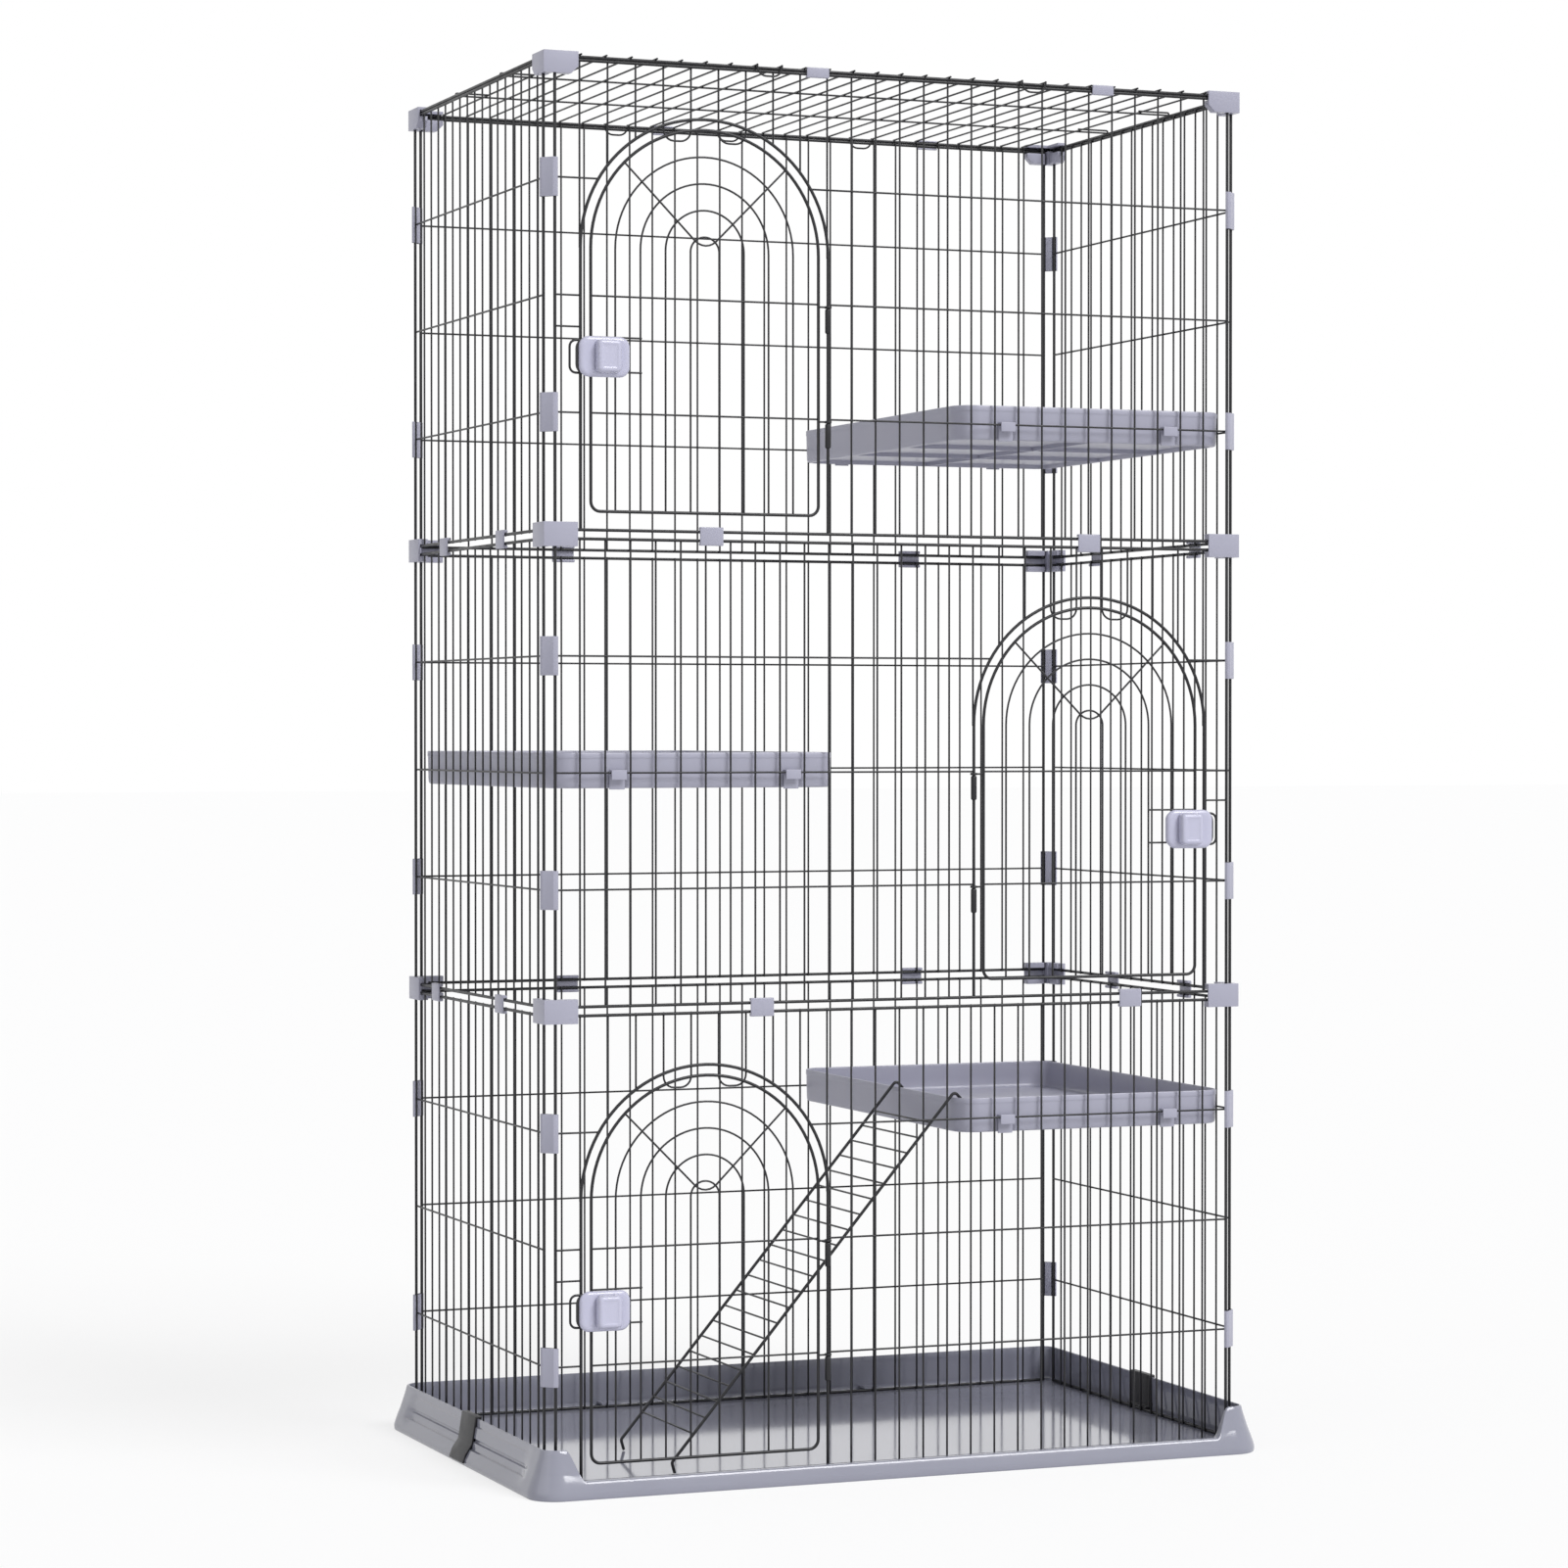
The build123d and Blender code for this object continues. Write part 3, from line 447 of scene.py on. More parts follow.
@dataclass(frozen=True)
class Finish:
    """A procedural finish: two mottled colours, a moulded or sprayed grain, and dust on what faces up."""

    name: str
    colour: tuple[float, float, float]
    second: tuple[float, float, float]
    roughness: tuple[float, float]
    mottle_scale: float
    grain_scale: float
    grain_depth: float
    dust: tuple[float, float, float]
    dust_share: float
    coat: float = 0.0
    coat_roughness: float = 0.12
    ior: float = 1.46
    subsurface: float = 0.0
    subsurface_radius: tuple[float, float, float] = (0.004, 0.004, 0.005)
    mottle_detail: float = 4.0
    mottle_span: tuple[float, float] = (0.3, 0.7)
    grain_detail: float = 3.0
    dust_slope: float = 0.35

    def material(self) -> bpy.types.Material:
        """Build the finish's nodes.

        Returns:
            The material, the same one each time it is asked for.
        """
        found = bpy.data.materials.get(self.name)
        if found:
            return found
        made = bpy.data.materials.new(self.name)
        made.use_nodes = True
        tree = made.node_tree
        shader = tree.nodes["Principled BSDF"]
        shader.inputs["IOR"].default_value = self.ior
        shader.inputs["Coat Weight"].default_value = self.coat
        shader.inputs["Coat Roughness"].default_value = self.coat_roughness
        shader.inputs["Subsurface Weight"].default_value = self.subsurface
        shader.inputs["Subsurface Radius"].default_value = self.subsurface_radius
        place = tree.nodes.new("ShaderNodeTexCoord").outputs["Object"]
        mottle = self.noise(tree, place, self.mottle_scale, self.mottle_detail)
        grain = self.noise(tree, place, self.grain_scale, self.grain_detail)
        colour = self.blend(tree, self.colour, self.second, mottle)
        geometry = tree.nodes.new("ShaderNodeNewGeometry")
        parts = tree.nodes.new("ShaderNodeSeparateXYZ")
        tree.links.new(geometry.outputs["Normal"], parts.inputs[0])
        facing = tree.nodes.new("ShaderNodeMapRange")
        facing.inputs["From Min"].default_value = self.dust_slope
        facing.inputs["To Max"].default_value = self.dust_share
        tree.links.new(parts.outputs["Z"], facing.inputs["Value"])
        patchy = tree.nodes.new("ShaderNodeMath")
        patchy.operation = "MULTIPLY"
        tree.links.new(facing.outputs["Result"], patchy.inputs[0])
        tree.links.new(grain, patchy.inputs[1])
        dusty = tree.nodes.new("ShaderNodeMix")
        dusty.data_type = "RGBA"
        dusty.inputs["B"].default_value = (*self.dust, 1.0)
        tree.links.new(patchy.outputs[0], dusty.inputs["Factor"])
        tree.links.new(colour, dusty.inputs["A"])
        tree.links.new(dusty.outputs["Result"], shader.inputs["Base Color"])
        sheen = tree.nodes.new("ShaderNodeMapRange")
        sheen.inputs["From Min"].default_value, sheen.inputs["From Max"].default_value = self.mottle_span
        sheen.inputs["To Min"].default_value, sheen.inputs["To Max"].default_value = self.roughness
        tree.links.new(mottle, sheen.inputs["Value"])
        tree.links.new(sheen.outputs["Result"], shader.inputs["Roughness"])
        bump = tree.nodes.new("ShaderNodeBump")
        bump.inputs["Distance"].default_value = self.grain_depth * METRE
        bump.inputs["Strength"].default_value = 1.0
        tree.links.new(grain, bump.inputs["Height"])
        tree.links.new(bump.outputs["Normal"], shader.inputs["Normal"])
        return made

    def noise(
        self, tree: bpy.types.NodeTree, place: bpy.types.NodeSocket, scale: float, detail: float
    ) -> bpy.types.NodeSocket:
        """Add a noise pattern on the piece's own coordinates.

        Args:
            tree: The material's nodes.
            place: The coordinates.
            scale: How fine the pattern is, in waves to a metre.
            detail: How many finer waves it has.

        Returns:
            The pattern's value, from 0 to 1.
        """
        made = tree.nodes.new("ShaderNodeTexNoise")
        made.inputs["Scale"].default_value = scale
        made.inputs["Detail"].default_value = detail
        tree.links.new(place, made.inputs["Vector"])
        return made.outputs["Fac"]

    def blend(
        self, tree: bpy.types.NodeTree, first: tuple, second: tuple, share: bpy.types.NodeSocket
    ) -> bpy.types.NodeSocket:
        """Mix two colours by a pattern.

        Args:
            tree: The material's nodes.
            first: The colour where the pattern is 0.
            second: The colour where it is 1.
            share: The pattern.

        Returns:
            The mixed colour.
        """
        made = tree.nodes.new("ShaderNodeMix")
        made.data_type = "RGBA"
        made.inputs["A"].default_value = (*first, 1.0)
        made.inputs["B"].default_value = (*second, 1.0)
        tree.links.new(share, made.inputs["Factor"])
        return made.outputs["Result"]


BLACK_WIRE = Finish(
    name="black_wire_coating", colour=(0.006, 0.006, 0.008), second=(0.012, 0.012, 0.015),
    roughness=(0.34, 0.50), mottle_scale=60.0, grain_scale=1500.0, grain_depth=0.03,
    dust=(0.06, 0.06, 0.065), dust_share=0.2,
)
LAVENDER_PLASTIC = Finish(
    name="lavender_plastic", colour=(0.345, 0.345, 0.43), second=(0.375, 0.375, 0.46),
    roughness=(0.28, 0.40), mottle_scale=18.0, grain_scale=900.0, grain_depth=0.02,
    dust=(0.55, 0.55, 0.62), dust_share=0.16, subsurface=0.04,
)
LATCH_PLASTIC = Finish(
    name="pale_latch_plastic", colour=(0.47, 0.47, 0.60), second=(0.50, 0.50, 0.63),
    roughness=(0.20, 0.30), mottle_scale=25.0, grain_scale=900.0, grain_depth=0.012,
    dust=(0.62, 0.62, 0.72), dust_share=0.12, coat=0.2, subsurface=0.04,
)
TRAY_PLASTIC = Finish(
    name="glossy_tray_plastic", colour=(0.25, 0.255, 0.315), second=(0.28, 0.285, 0.345),
    roughness=(0.05, 0.11), mottle_scale=9.0, grain_scale=500.0, grain_depth=0.012,
    dust=(0.48, 0.48, 0.54), dust_share=0.12, coat=0.25, subsurface=0.03,
)
# Black plastic of the tray's buckles; the latches' black bands, which are painted shade, use it too.
BUCKLE_AND_SHADE_BLACK = Finish(
    name="black_buckle_plastic", colour=(0.014, 0.014, 0.016), second=(0.022, 0.022, 0.025),
    roughness=(0.38, 0.52), mottle_scale=30.0, grain_scale=1200.0, grain_depth=0.04,
    dust=(0.07, 0.07, 0.075), dust_share=0.3,
)


def dress(piece: bpy.types.Object, finish: Finish, slot: str, body: str, *nodes: str) -> bpy.types.Object:
    """Give a piece its finish, make it ride on a body, and let it stand for nodes.

    Args:
        piece: The object.
        finish: Its finish.
        slot: The record's material slot; not used.
        body: The body it moves with.
        nodes: The frame's nodes that it stands for.

    Returns:
        The same object.
    """
    piece.data.materials.clear()
    piece.data.materials.append(finish.material())
    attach(piece, body)
    if nodes:
        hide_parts(*nodes)
    LOG.info("%s rides on %s", piece.name, body)
    return piece


def smoothed_copy(frame: dict, node: str, name: str, edge: float) -> bpy.types.Object:
    """Copy a node's mesh, merge its triangles into flat faces, and round its edges.

    Args:
        frame: The loaded frame.
        node: Name of the node.
        name: Name of the copy.
        edge: Radius of the rounded edges.

    Returns:
        The new object, with the rounding in its mesh.
    """
    shape = bmesh.new()
    shape.from_mesh(frame["nodes"][node].data)
    bmesh.ops.remove_doubles(shape, verts=shape.verts, dist=COPIED_GAP * METRE)
    flat = math.radians(FLAT_ANGLE)
    bmesh.ops.dissolve_limit(shape, angle_limit=flat, verts=shape.verts, edges=shape.edges)
    mesh = bpy.data.meshes.new(name)
    shape.to_mesh(mesh)
    shape.free()
    custom = mesh.attributes.get("custom_normal")
    if custom:
        mesh.attributes.remove(custom)
    mesh.materials.clear()
    copy = bpy.data.objects.new(name, mesh)
    bpy.context.scene.collection.objects.link(copy)
    bevel = copy.modifiers.new("rounded_edges", "BEVEL")
    bevel.width = edge * METRE
    bevel.segments = ROUNDED_STEPS
    bevel.limit_method = "ANGLE"
    bevel.angle_limit = math.radians(ROUNDED_ANGLE)
    bevel.use_clamp_overlap = True
    bpy.context.view_layer.update()
    evaluated = copy.evaluated_get(bpy.context.evaluated_depsgraph_get())
    final = bpy.data.meshes.new_from_object(evaluated)
    copy.modifiers.clear()
    copy.data = final
    final.polygons.foreach_set("use_smooth", np.ones(len(final.polygons), dtype=bool))
    final.set_sharp_from_angle(angle=math.radians(COPIED_ANGLE))
    return copy


@dataclass
class WirePanels:
    """The twelve wall panels, with welded frames, uprights and cross wires."""

    back_bays: int = 28
    side_bays: int = 17
    field_bays: int = 17
    opening_bays: int = 9
    arch_bays: tuple[int, ...] = (0, 1, 2, 7, 8, 9)
    stop_bays: tuple[int, ...] = (3, 5)
    stop_height: float = 483.0
    stop_radius: float = 14.0
    guard_height: float = 249.0

    def frame(self, skin: Skin, wall: Wall, width: float) -> None:
        """Add a panel's two end bars and two level bars.

        Args:
            skin: Where they go.
            wall: The wall they stand in.
            width: Distance between the end bars.
        """
        for end in (-width / 2, width / 2):
            wall.upright(skin, end, -BAR, TIER_HEIGHT + BAR, BAR, 0.0)
        for height in (0.0, TIER_HEIGHT):
            wall.level(skin, height, BAR / 2 - width / 2, width / 2 - BAR / 2, BAR, 0.0)

    def plain(self, side: Side, tier: Tier, width: float, bays: int) -> None:
        """Make a panel with even uprights and three cross wires.

        Args:
            side: The side it closes.
            tier: Its tier.
            width: Distance between its end bars.
            bays: How many gaps the uprights leave.
        """
        skin = Skin()
        wall = Wall(side, tier.base)
        self.frame(skin, wall, width)
        for bay in range(1, bays):
            wall.upright(skin, width * bay / bays - width / 2, -BAR, TIER_HEIGHT + BAR)
        for height in QUARTERS:
            wall.level(skin, height, -width / 2, width / 2)
        name = f"{side.name.lower()}_wall_{tier.label}"
        dress(skin.piece(f"{name}_wires"), BLACK_WIRE, "wire", "cage", name)

    def over_opening(self, skin: Skin, wall: Wall, tier: Tier) -> None:
        """Add the uprights that end on the opening's arch, and the two hairpins that stop the door.

        An upright's foot is at the height sqrt(r^2 - x^2) over the arch's centre.

        Args:
            skin: Where the wires go.
            wall: The front wall.
            tier: Its tier.
        """
        radius = OPENING / 2
        centre = EDGE_BAY + radius
        pitch = OPENING / self.opening_bays
        top = TIER_HEIGHT + BAR
        for bay in self.arch_bays:
            place = EDGE_BAY + pitch * bay
            foot = ARCH_HEIGHT + math.sqrt(radius**2 - (place - centre) ** 2) - BAR / 2
            wall.upright(skin, tier.front(place), foot, top)
        for bay in self.stop_bays:
            near = tier.front(EDGE_BAY + pitch * bay)
            far = tier.front(EDGE_BAY + pitch * (bay + 1))
            run = np.array([(near, top), (near, self.stop_height), (far, self.stop_height), (far, top)])
            wire(skin, wall.at(rounded(run, self.stop_radius), UPRIGHT_DEPTH), WIRE, wall.normal)

    def front(self, tier: Tier) -> None:
        """Make a front panel, whose wires leave the door opening free.

        Args:
            tier: Its tier.
        """
        skin = Skin()
        wall = Wall(Side.FRONT, tier.base)
        self.frame(skin, wall, CAGE_WIDTH)
        hinge = EDGE_BAY + OPENING
        for bay in range(1, self.field_bays):
            place = tier.front(hinge + (CAGE_WIDTH - hinge) * bay / self.field_bays)
            wall.upright(skin, place, -BAR, TIER_HEIGHT + BAR)
        self.over_opening(skin, wall, tier)
        low, half, high = QUARTERS
        centre = EDGE_BAY + OPENING / 2
        reach = math.sqrt((OPENING / 2) ** 2 - (high - ARCH_HEIGHT) ** 2)
        spans = [(height, 0, EDGE_BAY) for height in (low, half, self.guard_height)]
        spans += [(height, hinge, CAGE_WIDTH) for height in (low, half)]
        spans += [(high, 0, centre - reach), (high, centre + reach, CAGE_WIDTH)]
        for height, start, end in spans:
            wall.level(skin, height, tier.front(start), tier.front(end))
        name = f"front_wall_{tier.label}"
        dress(skin.piece(f"{name}_wires"), BLACK_WIRE, "wire", "cage", name)

    def build(self) -> None:
        """Make every panel."""
        for tier in Tier:
            self.front(tier)
            self.plain(Side.BACK, tier, CAGE_WIDTH, self.back_bays)
            for side in (Side.LEFT, Side.RIGHT):
                self.plain(side, tier, CAGE_DEPTH - 2 * SIDE_END_GAP, self.side_bays)


@dataclass
class Doors:
    """The hoops round the openings, the arched doors that hang in them, and their hinges."""

    half: float = 151.0
    bottom: float = 23.0
    corner: float = 12.0
    proud: float = 0.5
    arc_pitch: float = 33.0
    arcs: int = 4
    arc_points: int = 41
    vee_radius: float = 20.0
    supports: tuple[float, float] = (194.5, 237.0)
    sleeve_radius: float = 3.8
    sleeve_height: float = 31.5
    eye_height: float = 3.0
    eye_radius: float = 3.6
    eye_wire: float = 1.15
    eye_points: int = 20
    eye_lifts: tuple[float, float] = (-0.45, 0.45)
    hinge_gap: float = 0.35

    def middle(self, tier: Tier) -> float:
        """Place of the opening's middle along the front wall."""
        return tier.front(EDGE_BAY + OPENING / 2)

    def hinge(self, tier: Tier) -> float:
        """Place of the hinge leg along the front wall."""
        return tier.front(EDGE_BAY + OPENING)

    def eye_centres(self) -> list[float]:
        """Heights of the two hinge eyes over the tier's base."""
        return [height - WIRE - self.hinge_gap - self.eye_height / 2 for height in QUARTERS[:2]]

    def hoop(self, tier: Tier) -> None:
        """Make the thick wire round an opening.

        Args:
            tier: The opening's tier.
        """
        skin = Skin()
        wall = Wall(Side.FRONT, tier.base)
        middle = self.middle(tier)
        arc = half_circle((middle, ARCH_HEIGHT), OPENING / 2)
        feet = [(middle + OPENING / 2, BAR / 2), (middle - OPENING / 2, BAR / 2)]
        line = np.concatenate([[feet[0]], arc, [feet[1]]])
        wire(skin, wall.at(line), BAR, wall.normal, sides=14)
        name = f"opening_hoop_{tier.label}"
        dress(skin.piece(f"{name}_wire"), BLACK_WIRE, "wire", "cage", name)

    def sleeves(self) -> None:
        """Make the six sleeves that carry the doors' eyes, each a tube with eased rims."""
        skin = Skin()
        for tier in Tier:
            wall = Wall(Side.FRONT, tier.base)
            for eye in self.eye_centres():
                top = eye - self.eye_height / 2 - self.hinge_gap
                wall.upright(skin, self.hinge(tier), top - self.sleeve_height, top, self.sleeve_radius, 0.0)
        dress(skin.piece("hinge_sleeve_tubes"), BLACK_WIRE, "wire", "cage", "hinge_sleeves")

    def arches(self, skin: Skin, wall: Wall, middle: float) -> None:
        """Add a door's frame, its nested arches and its vee.

        Args:
            skin: Where the wires go.
            wall: The front wall.
            middle: Place of the door's middle along it.
        """
        shift = np.array([middle, 0.0])
        feet = np.array([
            (-self.half, ARCH_HEIGHT), (-self.half, self.bottom), (self.half, self.bottom),
            (self.half, ARCH_HEIGHT),
        ])
        bow = half_circle((0.0, ARCH_HEIGHT), self.half)[1:-1]
        loop = np.concatenate([rounded(feet, self.corner), bow]) + shift
        radii = np.full(len(loop), BAR)
        tube(skin, wall.at(loop, self.proud), radii, wall.normal, sides=12, closed=True)
        for turn in range(1, self.arcs + 1):
            radius = self.half - self.arc_pitch * turn
            arc = half_circle((0.0, ARCH_HEIGHT), radius, self.arc_points)
            run = np.concatenate([[(radius, self.bottom)], arc, [(-radius, self.bottom)]]) + shift
            wire(skin, wall.at(run, self.proud + UPRIGHT_DEPTH), WIRE, wall.normal)
        reach = (self.half - BAR / 2) / math.sqrt(2)
        vee = np.array([(-reach, ARCH_HEIGHT + reach), (0.0, ARCH_HEIGHT), (reach, ARCH_HEIGHT + reach)])
        line = wall.at(rounded(vee, self.vee_radius) + shift, self.proud + CROSS_DEPTH)
        wire(skin, line, WIRE, wall.normal)

    def eyes(self, skin: Skin, wall: Wall, tier: Tier) -> None:
        """Add a door's two eyes: rings round the hinge leg, and the wires that join them to the frame.

        A ring's middle line is c + r (cos(a), sin(a), 0).

        Args:
            skin: Where the wires go.
            wall: The front wall.
            tier: The door's tier.
        """
        turn = np.linspace(0, 2 * np.pi, self.eye_points, endpoint=False)
        spin = np.stack([np.cos(turn), np.sin(turn), np.zeros(self.eye_points)], axis=-1)
        radii = np.full(self.eye_points, self.eye_wire)
        hinge = self.hinge(tier)
        rim = self.middle(tier) - tier.hand * self.half
        near = hinge + tier.hand * self.eye_radius
        for eye in self.eye_centres():
            for lift in self.eye_lifts:
                centre = np.array([hinge, -CAGE_DEPTH / 2, tier.base + eye + lift])
                tube(skin, centre + self.eye_radius * spin, radii, UP, sides=8, closed=True)
            wall.level(skin, eye, rim, near, WIRE, self.proud)

    def leaf(self, tier: Tier) -> None:
        """Make a door: its frame, nested arches, vee, cross wires and eyes.

        Args:
            tier: The door's tier.
        """
        skin = Skin()
        wall = Wall(Side.FRONT, tier.base)
        middle = self.middle(tier)
        self.arches(skin, wall, middle)
        depth = self.proud + CROSS_DEPTH
        inner = self.half - BAR / 2
        for height in QUARTERS[:2]:
            wall.level(skin, height, middle - inner, middle + inner, WIRE, depth)
        edge = middle + tier.hand * inner
        end = edge - tier.hand * (2 * self.arc_pitch - BAR / 2 + WIRE)
        for height in self.supports:
            wall.level(skin, height, edge, end, WIRE, depth)
        self.eyes(skin, wall, tier)
        name = f"door_{tier.label}"
        dress(skin.piece(f"{name}_wires"), BLACK_WIRE, "wire", name, name)

    def build(self) -> None:
        """Make every hoop, sleeve and door."""
        for tier in Tier:
            self.hoop(tier)
            self.leaf(tier)
        self.sleeves()


@dataclass(frozen=True)
class Moulding:
    """A block with round corners, whose rows are pairs of an inset of its outline and a height."""

    width: float
    height: float
    corner: float
    rows: tuple[tuple[float, float], ...]
    least_corner: float = 2.0
    corner_points: int = 9

    def add(self, skin: Skin, wall: Wall, middle: tuple[float, float], base: float) -> None:
        """Add the block, closed at its back and its face.

        Args:
            skin: Where it goes.
            wall: The wall it stands on.
            middle: Its place along the wall, and its height.
            base: How far outwards its rows are counted from.
        """
        rings = []
        for inset, rise in self.rows:
            corner = max(self.corner - inset, self.least_corner)
            flat = outline(self.width - 2 * inset, self.height - 2 * inset, corner, self.corner_points)
            rings.append(wall.at(flat + middle, base + rise))
        around = len(rings[0])
        count = len(rings) * around
        poles = [wall.at([middle], base + self.rows[end][1]) for end in (0, -1)]
        skin.add(
            np.concatenate(rings + poles),
            ring_faces(len(rings), around, False),
            fan(around, 0, count, True),
            fan(around, count - around, count + 1, False),
        )


@dataclass
class Latches:
    """The latches: a domed housing with a black band under its rim that is painted shade, a knob with a raised
    grip, and a bent bolt.
    """

    height: float = 212.0
    start: float = -6.0
    back: float = 2.5
    depth: float = 13.0
    housing: Moulding = Moulding(66.0, 50.0, 13.0, (
        (5.0, 0.0), (3.2, 0.0), (2.6, 0.4), (2.6, 7.4), (0.4, 7.5), (0.0, 8.0), (0.2, 9.4), (0.9, 10.8),
        (2.0, 11.8), (3.6, 12.6), (6.0, 12.9), (9.0, 13.0), (12.0, 13.0),
    ))
    # A black band under the housing's rim, shifted towards the bolt's side so that it shows past the housing's
    # side: painted shade on that side wall.
    mouth: Moulding = Moulding(64.6, 45.0, 13.0, (
        (2.0, 3.8), (0.3, 3.9), (0.0, 4.2), (0.0, 7.0), (1.6, 7.2),
    ))
    mouth_shift: float = 3.6
    knob: Moulding = Moulding(32.0, 41.0, 6.0, (
        (3.0, -2.4), (3.0, 0.6), (0.5, 0.7), (0.0, 1.4), (0.3, 6.5), (0.8, 9.2), (1.8, 10.9), (3.2, 11.8),
        (5.0, 12.0), (5.6, 12.0), (6.6, 11.5), (7.4, 11.3), (12.0, 11.3),
    ))
    knob_start: float = 13.5
    gap: float = 0.35
    bolt: float = 1.5
    bolt_reach: float = 17.0
    bolt_spread: float = 40.0
    bolt_radius: float = 8.0
    tail: float = 33.0

    def shell(self, tier: Tier, wall: Wall) -> None:
        """Make a housing, and the black band under its rim that is painted shade on its side.

        Args:
            tier: The latch's tier.
            wall: The front wall.
        """
        middle = EDGE_BAY + self.start + self.housing.width / 2
        name = f"latch_housing_{tier.label}"
        door = f"door_{tier.label}"
        skin = Skin()
        self.housing.add(skin, wall, (tier.front(middle), self.height), self.back)
        dress(skin.piece(f"{name}_shell"), LATCH_PLASTIC, "latch", door, name)
        # The black band is painted shade on the housing's side wall, not a part of the latch.
        skin = Skin()
        self.mouth.add(skin, wall, (tier.front(middle - self.mouth_shift), self.height), self.back)
        dress(skin.piece(f"{name}_mouth"), BUCKLE_AND_SHADE_BLACK, "buckle", door)

    def slide(self, tier: Tier, wall: Wall) -> None:
        """Make a knob and the bolt that slides with it.

        Args:
            tier: The latch's tier.
            wall: The front wall.
        """
        body = f"latch_{tier.label}"
        skin = Skin()
        middle = tier.front(EDGE_BAY + self.knob_start + self.knob.width / 2)
        self.knob.add(skin, wall, (middle, self.height), self.back + self.depth + self.gap)
        name = f"latch_knob_{tier.label}"
        dress(skin.piece(f"{name}_grip"), LATCH_PLASTIC, "latch", body, name)
        skin = Skin()
        tip = tier.front(EDGE_BAY - self.bolt_reach + self.bolt)
        tail = tier.front(EDGE_BAY + self.tail)
        side = self.bolt_spread / 2
        run = np.array([(tail, -side), (tip, -side), (tip, side), (tail, side)])
        line = rounded(run, self.bolt_radius) + (0.0, self.height)
        wire(skin, wall.at(line, self.back + self.gap + self.bolt), self.bolt, wall.normal, sides=12)
        name = f"latch_bolt_{tier.label}"
        dress(skin.piece(f"{name}_wire"), BLACK_WIRE, "wire", body, name)

    def build(self) -> None:
        """Make the three latches."""
        for tier in Tier:
            wall = Wall(Side.FRONT, tier.base)
            self.shell(tier, wall)
            self.slide(tier, wall)


@dataclass
class Roof:
    """The roof grille: its frame, wires from front to back, looped cross wires, and hooks over the walls."""

    bays: int = 28
    nub: float = 5.0
    hook_drop: float = 15.0
    hook_radius: float = 12.0
    hook_bays: dict[Side, tuple[int, ...]] = field(
        default_factory=lambda: {Side.FRONT: (8, 19), Side.BACK: (8, 13, 19)}
    )
    cross_places: tuple[float, float] = (-CAGE_DEPTH / 6, CAGE_DEPTH / 6)
    loop_start: float = 6.0
    loop_rise: float = 4.2
    loop_return: float = 47.0
    loop_radius: float = 1.8
    loop_points: int = 5

    @property
    def pitch(self) -> float:
        """Distance between the wires that run from front to back."""
        return CAGE_WIDTH / self.bays

    def grille(self, skin: Skin) -> None:
        """Add the frame and the wires from front to back.

        Args:
            skin: Where they go.
        """
        for side in (Side.FRONT, Side.BACK):
            Wall(side, ROOF_LEVEL).level(skin, 0.0, -SIDE_X - BAR, SIDE_X + BAR, BAR, 0.0)
        for side in (Side.LEFT, Side.RIGHT):
            end = CAGE_DEPTH / 2 - BAR / 2
            Wall(side, ROOF_LEVEL).level(skin, 0.0, -end, end, BAR, 0.0)
        height = ROOF_LEVEL + (BAR + WIRE - WELD)
        reach = CAGE_DEPTH / 2 + self.nub
        for bay in range(1, self.bays):
            x = self.pitch * bay - CAGE_WIDTH / 2
            wire(skin, np.array([(x, -reach, height), (x, reach, height)]), WIRE, UP)

    def crosses(self, skin: Skin) -> None:
        """Add the cross wires, whose ends loop up round the side bars and back over them.

        Args:
            skin: Where they go.
        """
        level = ROOF_LEVEL + BAR - WIRE
        end = SIDE_X + BAR + WIRE
        top = ROOF_LEVEL + self.loop_rise
        back = SIDE_X - self.loop_return
        right = np.array([(0.0, level), (end - self.loop_start, level), (end, top), (back, top)])
        half = rounded(right, self.loop_radius, self.loop_points)
        whole = np.concatenate([half[::-1] * (-1, 1), half[1:]])
        for y in self.cross_places:
            line = np.stack([whole[:, 0], np.full(len(whole), y), whole[:, 1]], axis=-1)
            wire(skin, line, WIRE, BACKWARDS)

    def hooks(self, skin: Skin) -> None:
        """Add the bent wires that hang over the front and back walls.

        Args:
            skin: Where they go.
        """
        drop = BAR + 2 * WIRE
        low = drop - self.hook_drop
        for side, bays in self.hook_bays.items():
            wall = Wall(side, ROOF_LEVEL)
            turn = side.value[1][0]
            for bay in bays:
                near = turn * (self.pitch * bay - CAGE_WIDTH / 2)
                far = turn * (self.pitch * (bay + 1) - CAGE_WIDTH / 2)
                corners = np.array([(near, drop), (near, low), (far, low), (far, drop)])
                run = wall.at(rounded(corners, self.hook_radius), self.nub + WIRE)
                wire(skin, run, WIRE, wall.normal)

    def build(self) -> None:
        """Make the roof as one piece."""
        skin = Skin()
        self.grille(skin)
        self.crosses(skin)
        self.hooks(skin)
        dress(skin.piece("roof_grille"), BLACK_WIRE, "wire", "cage", "roof_panel")


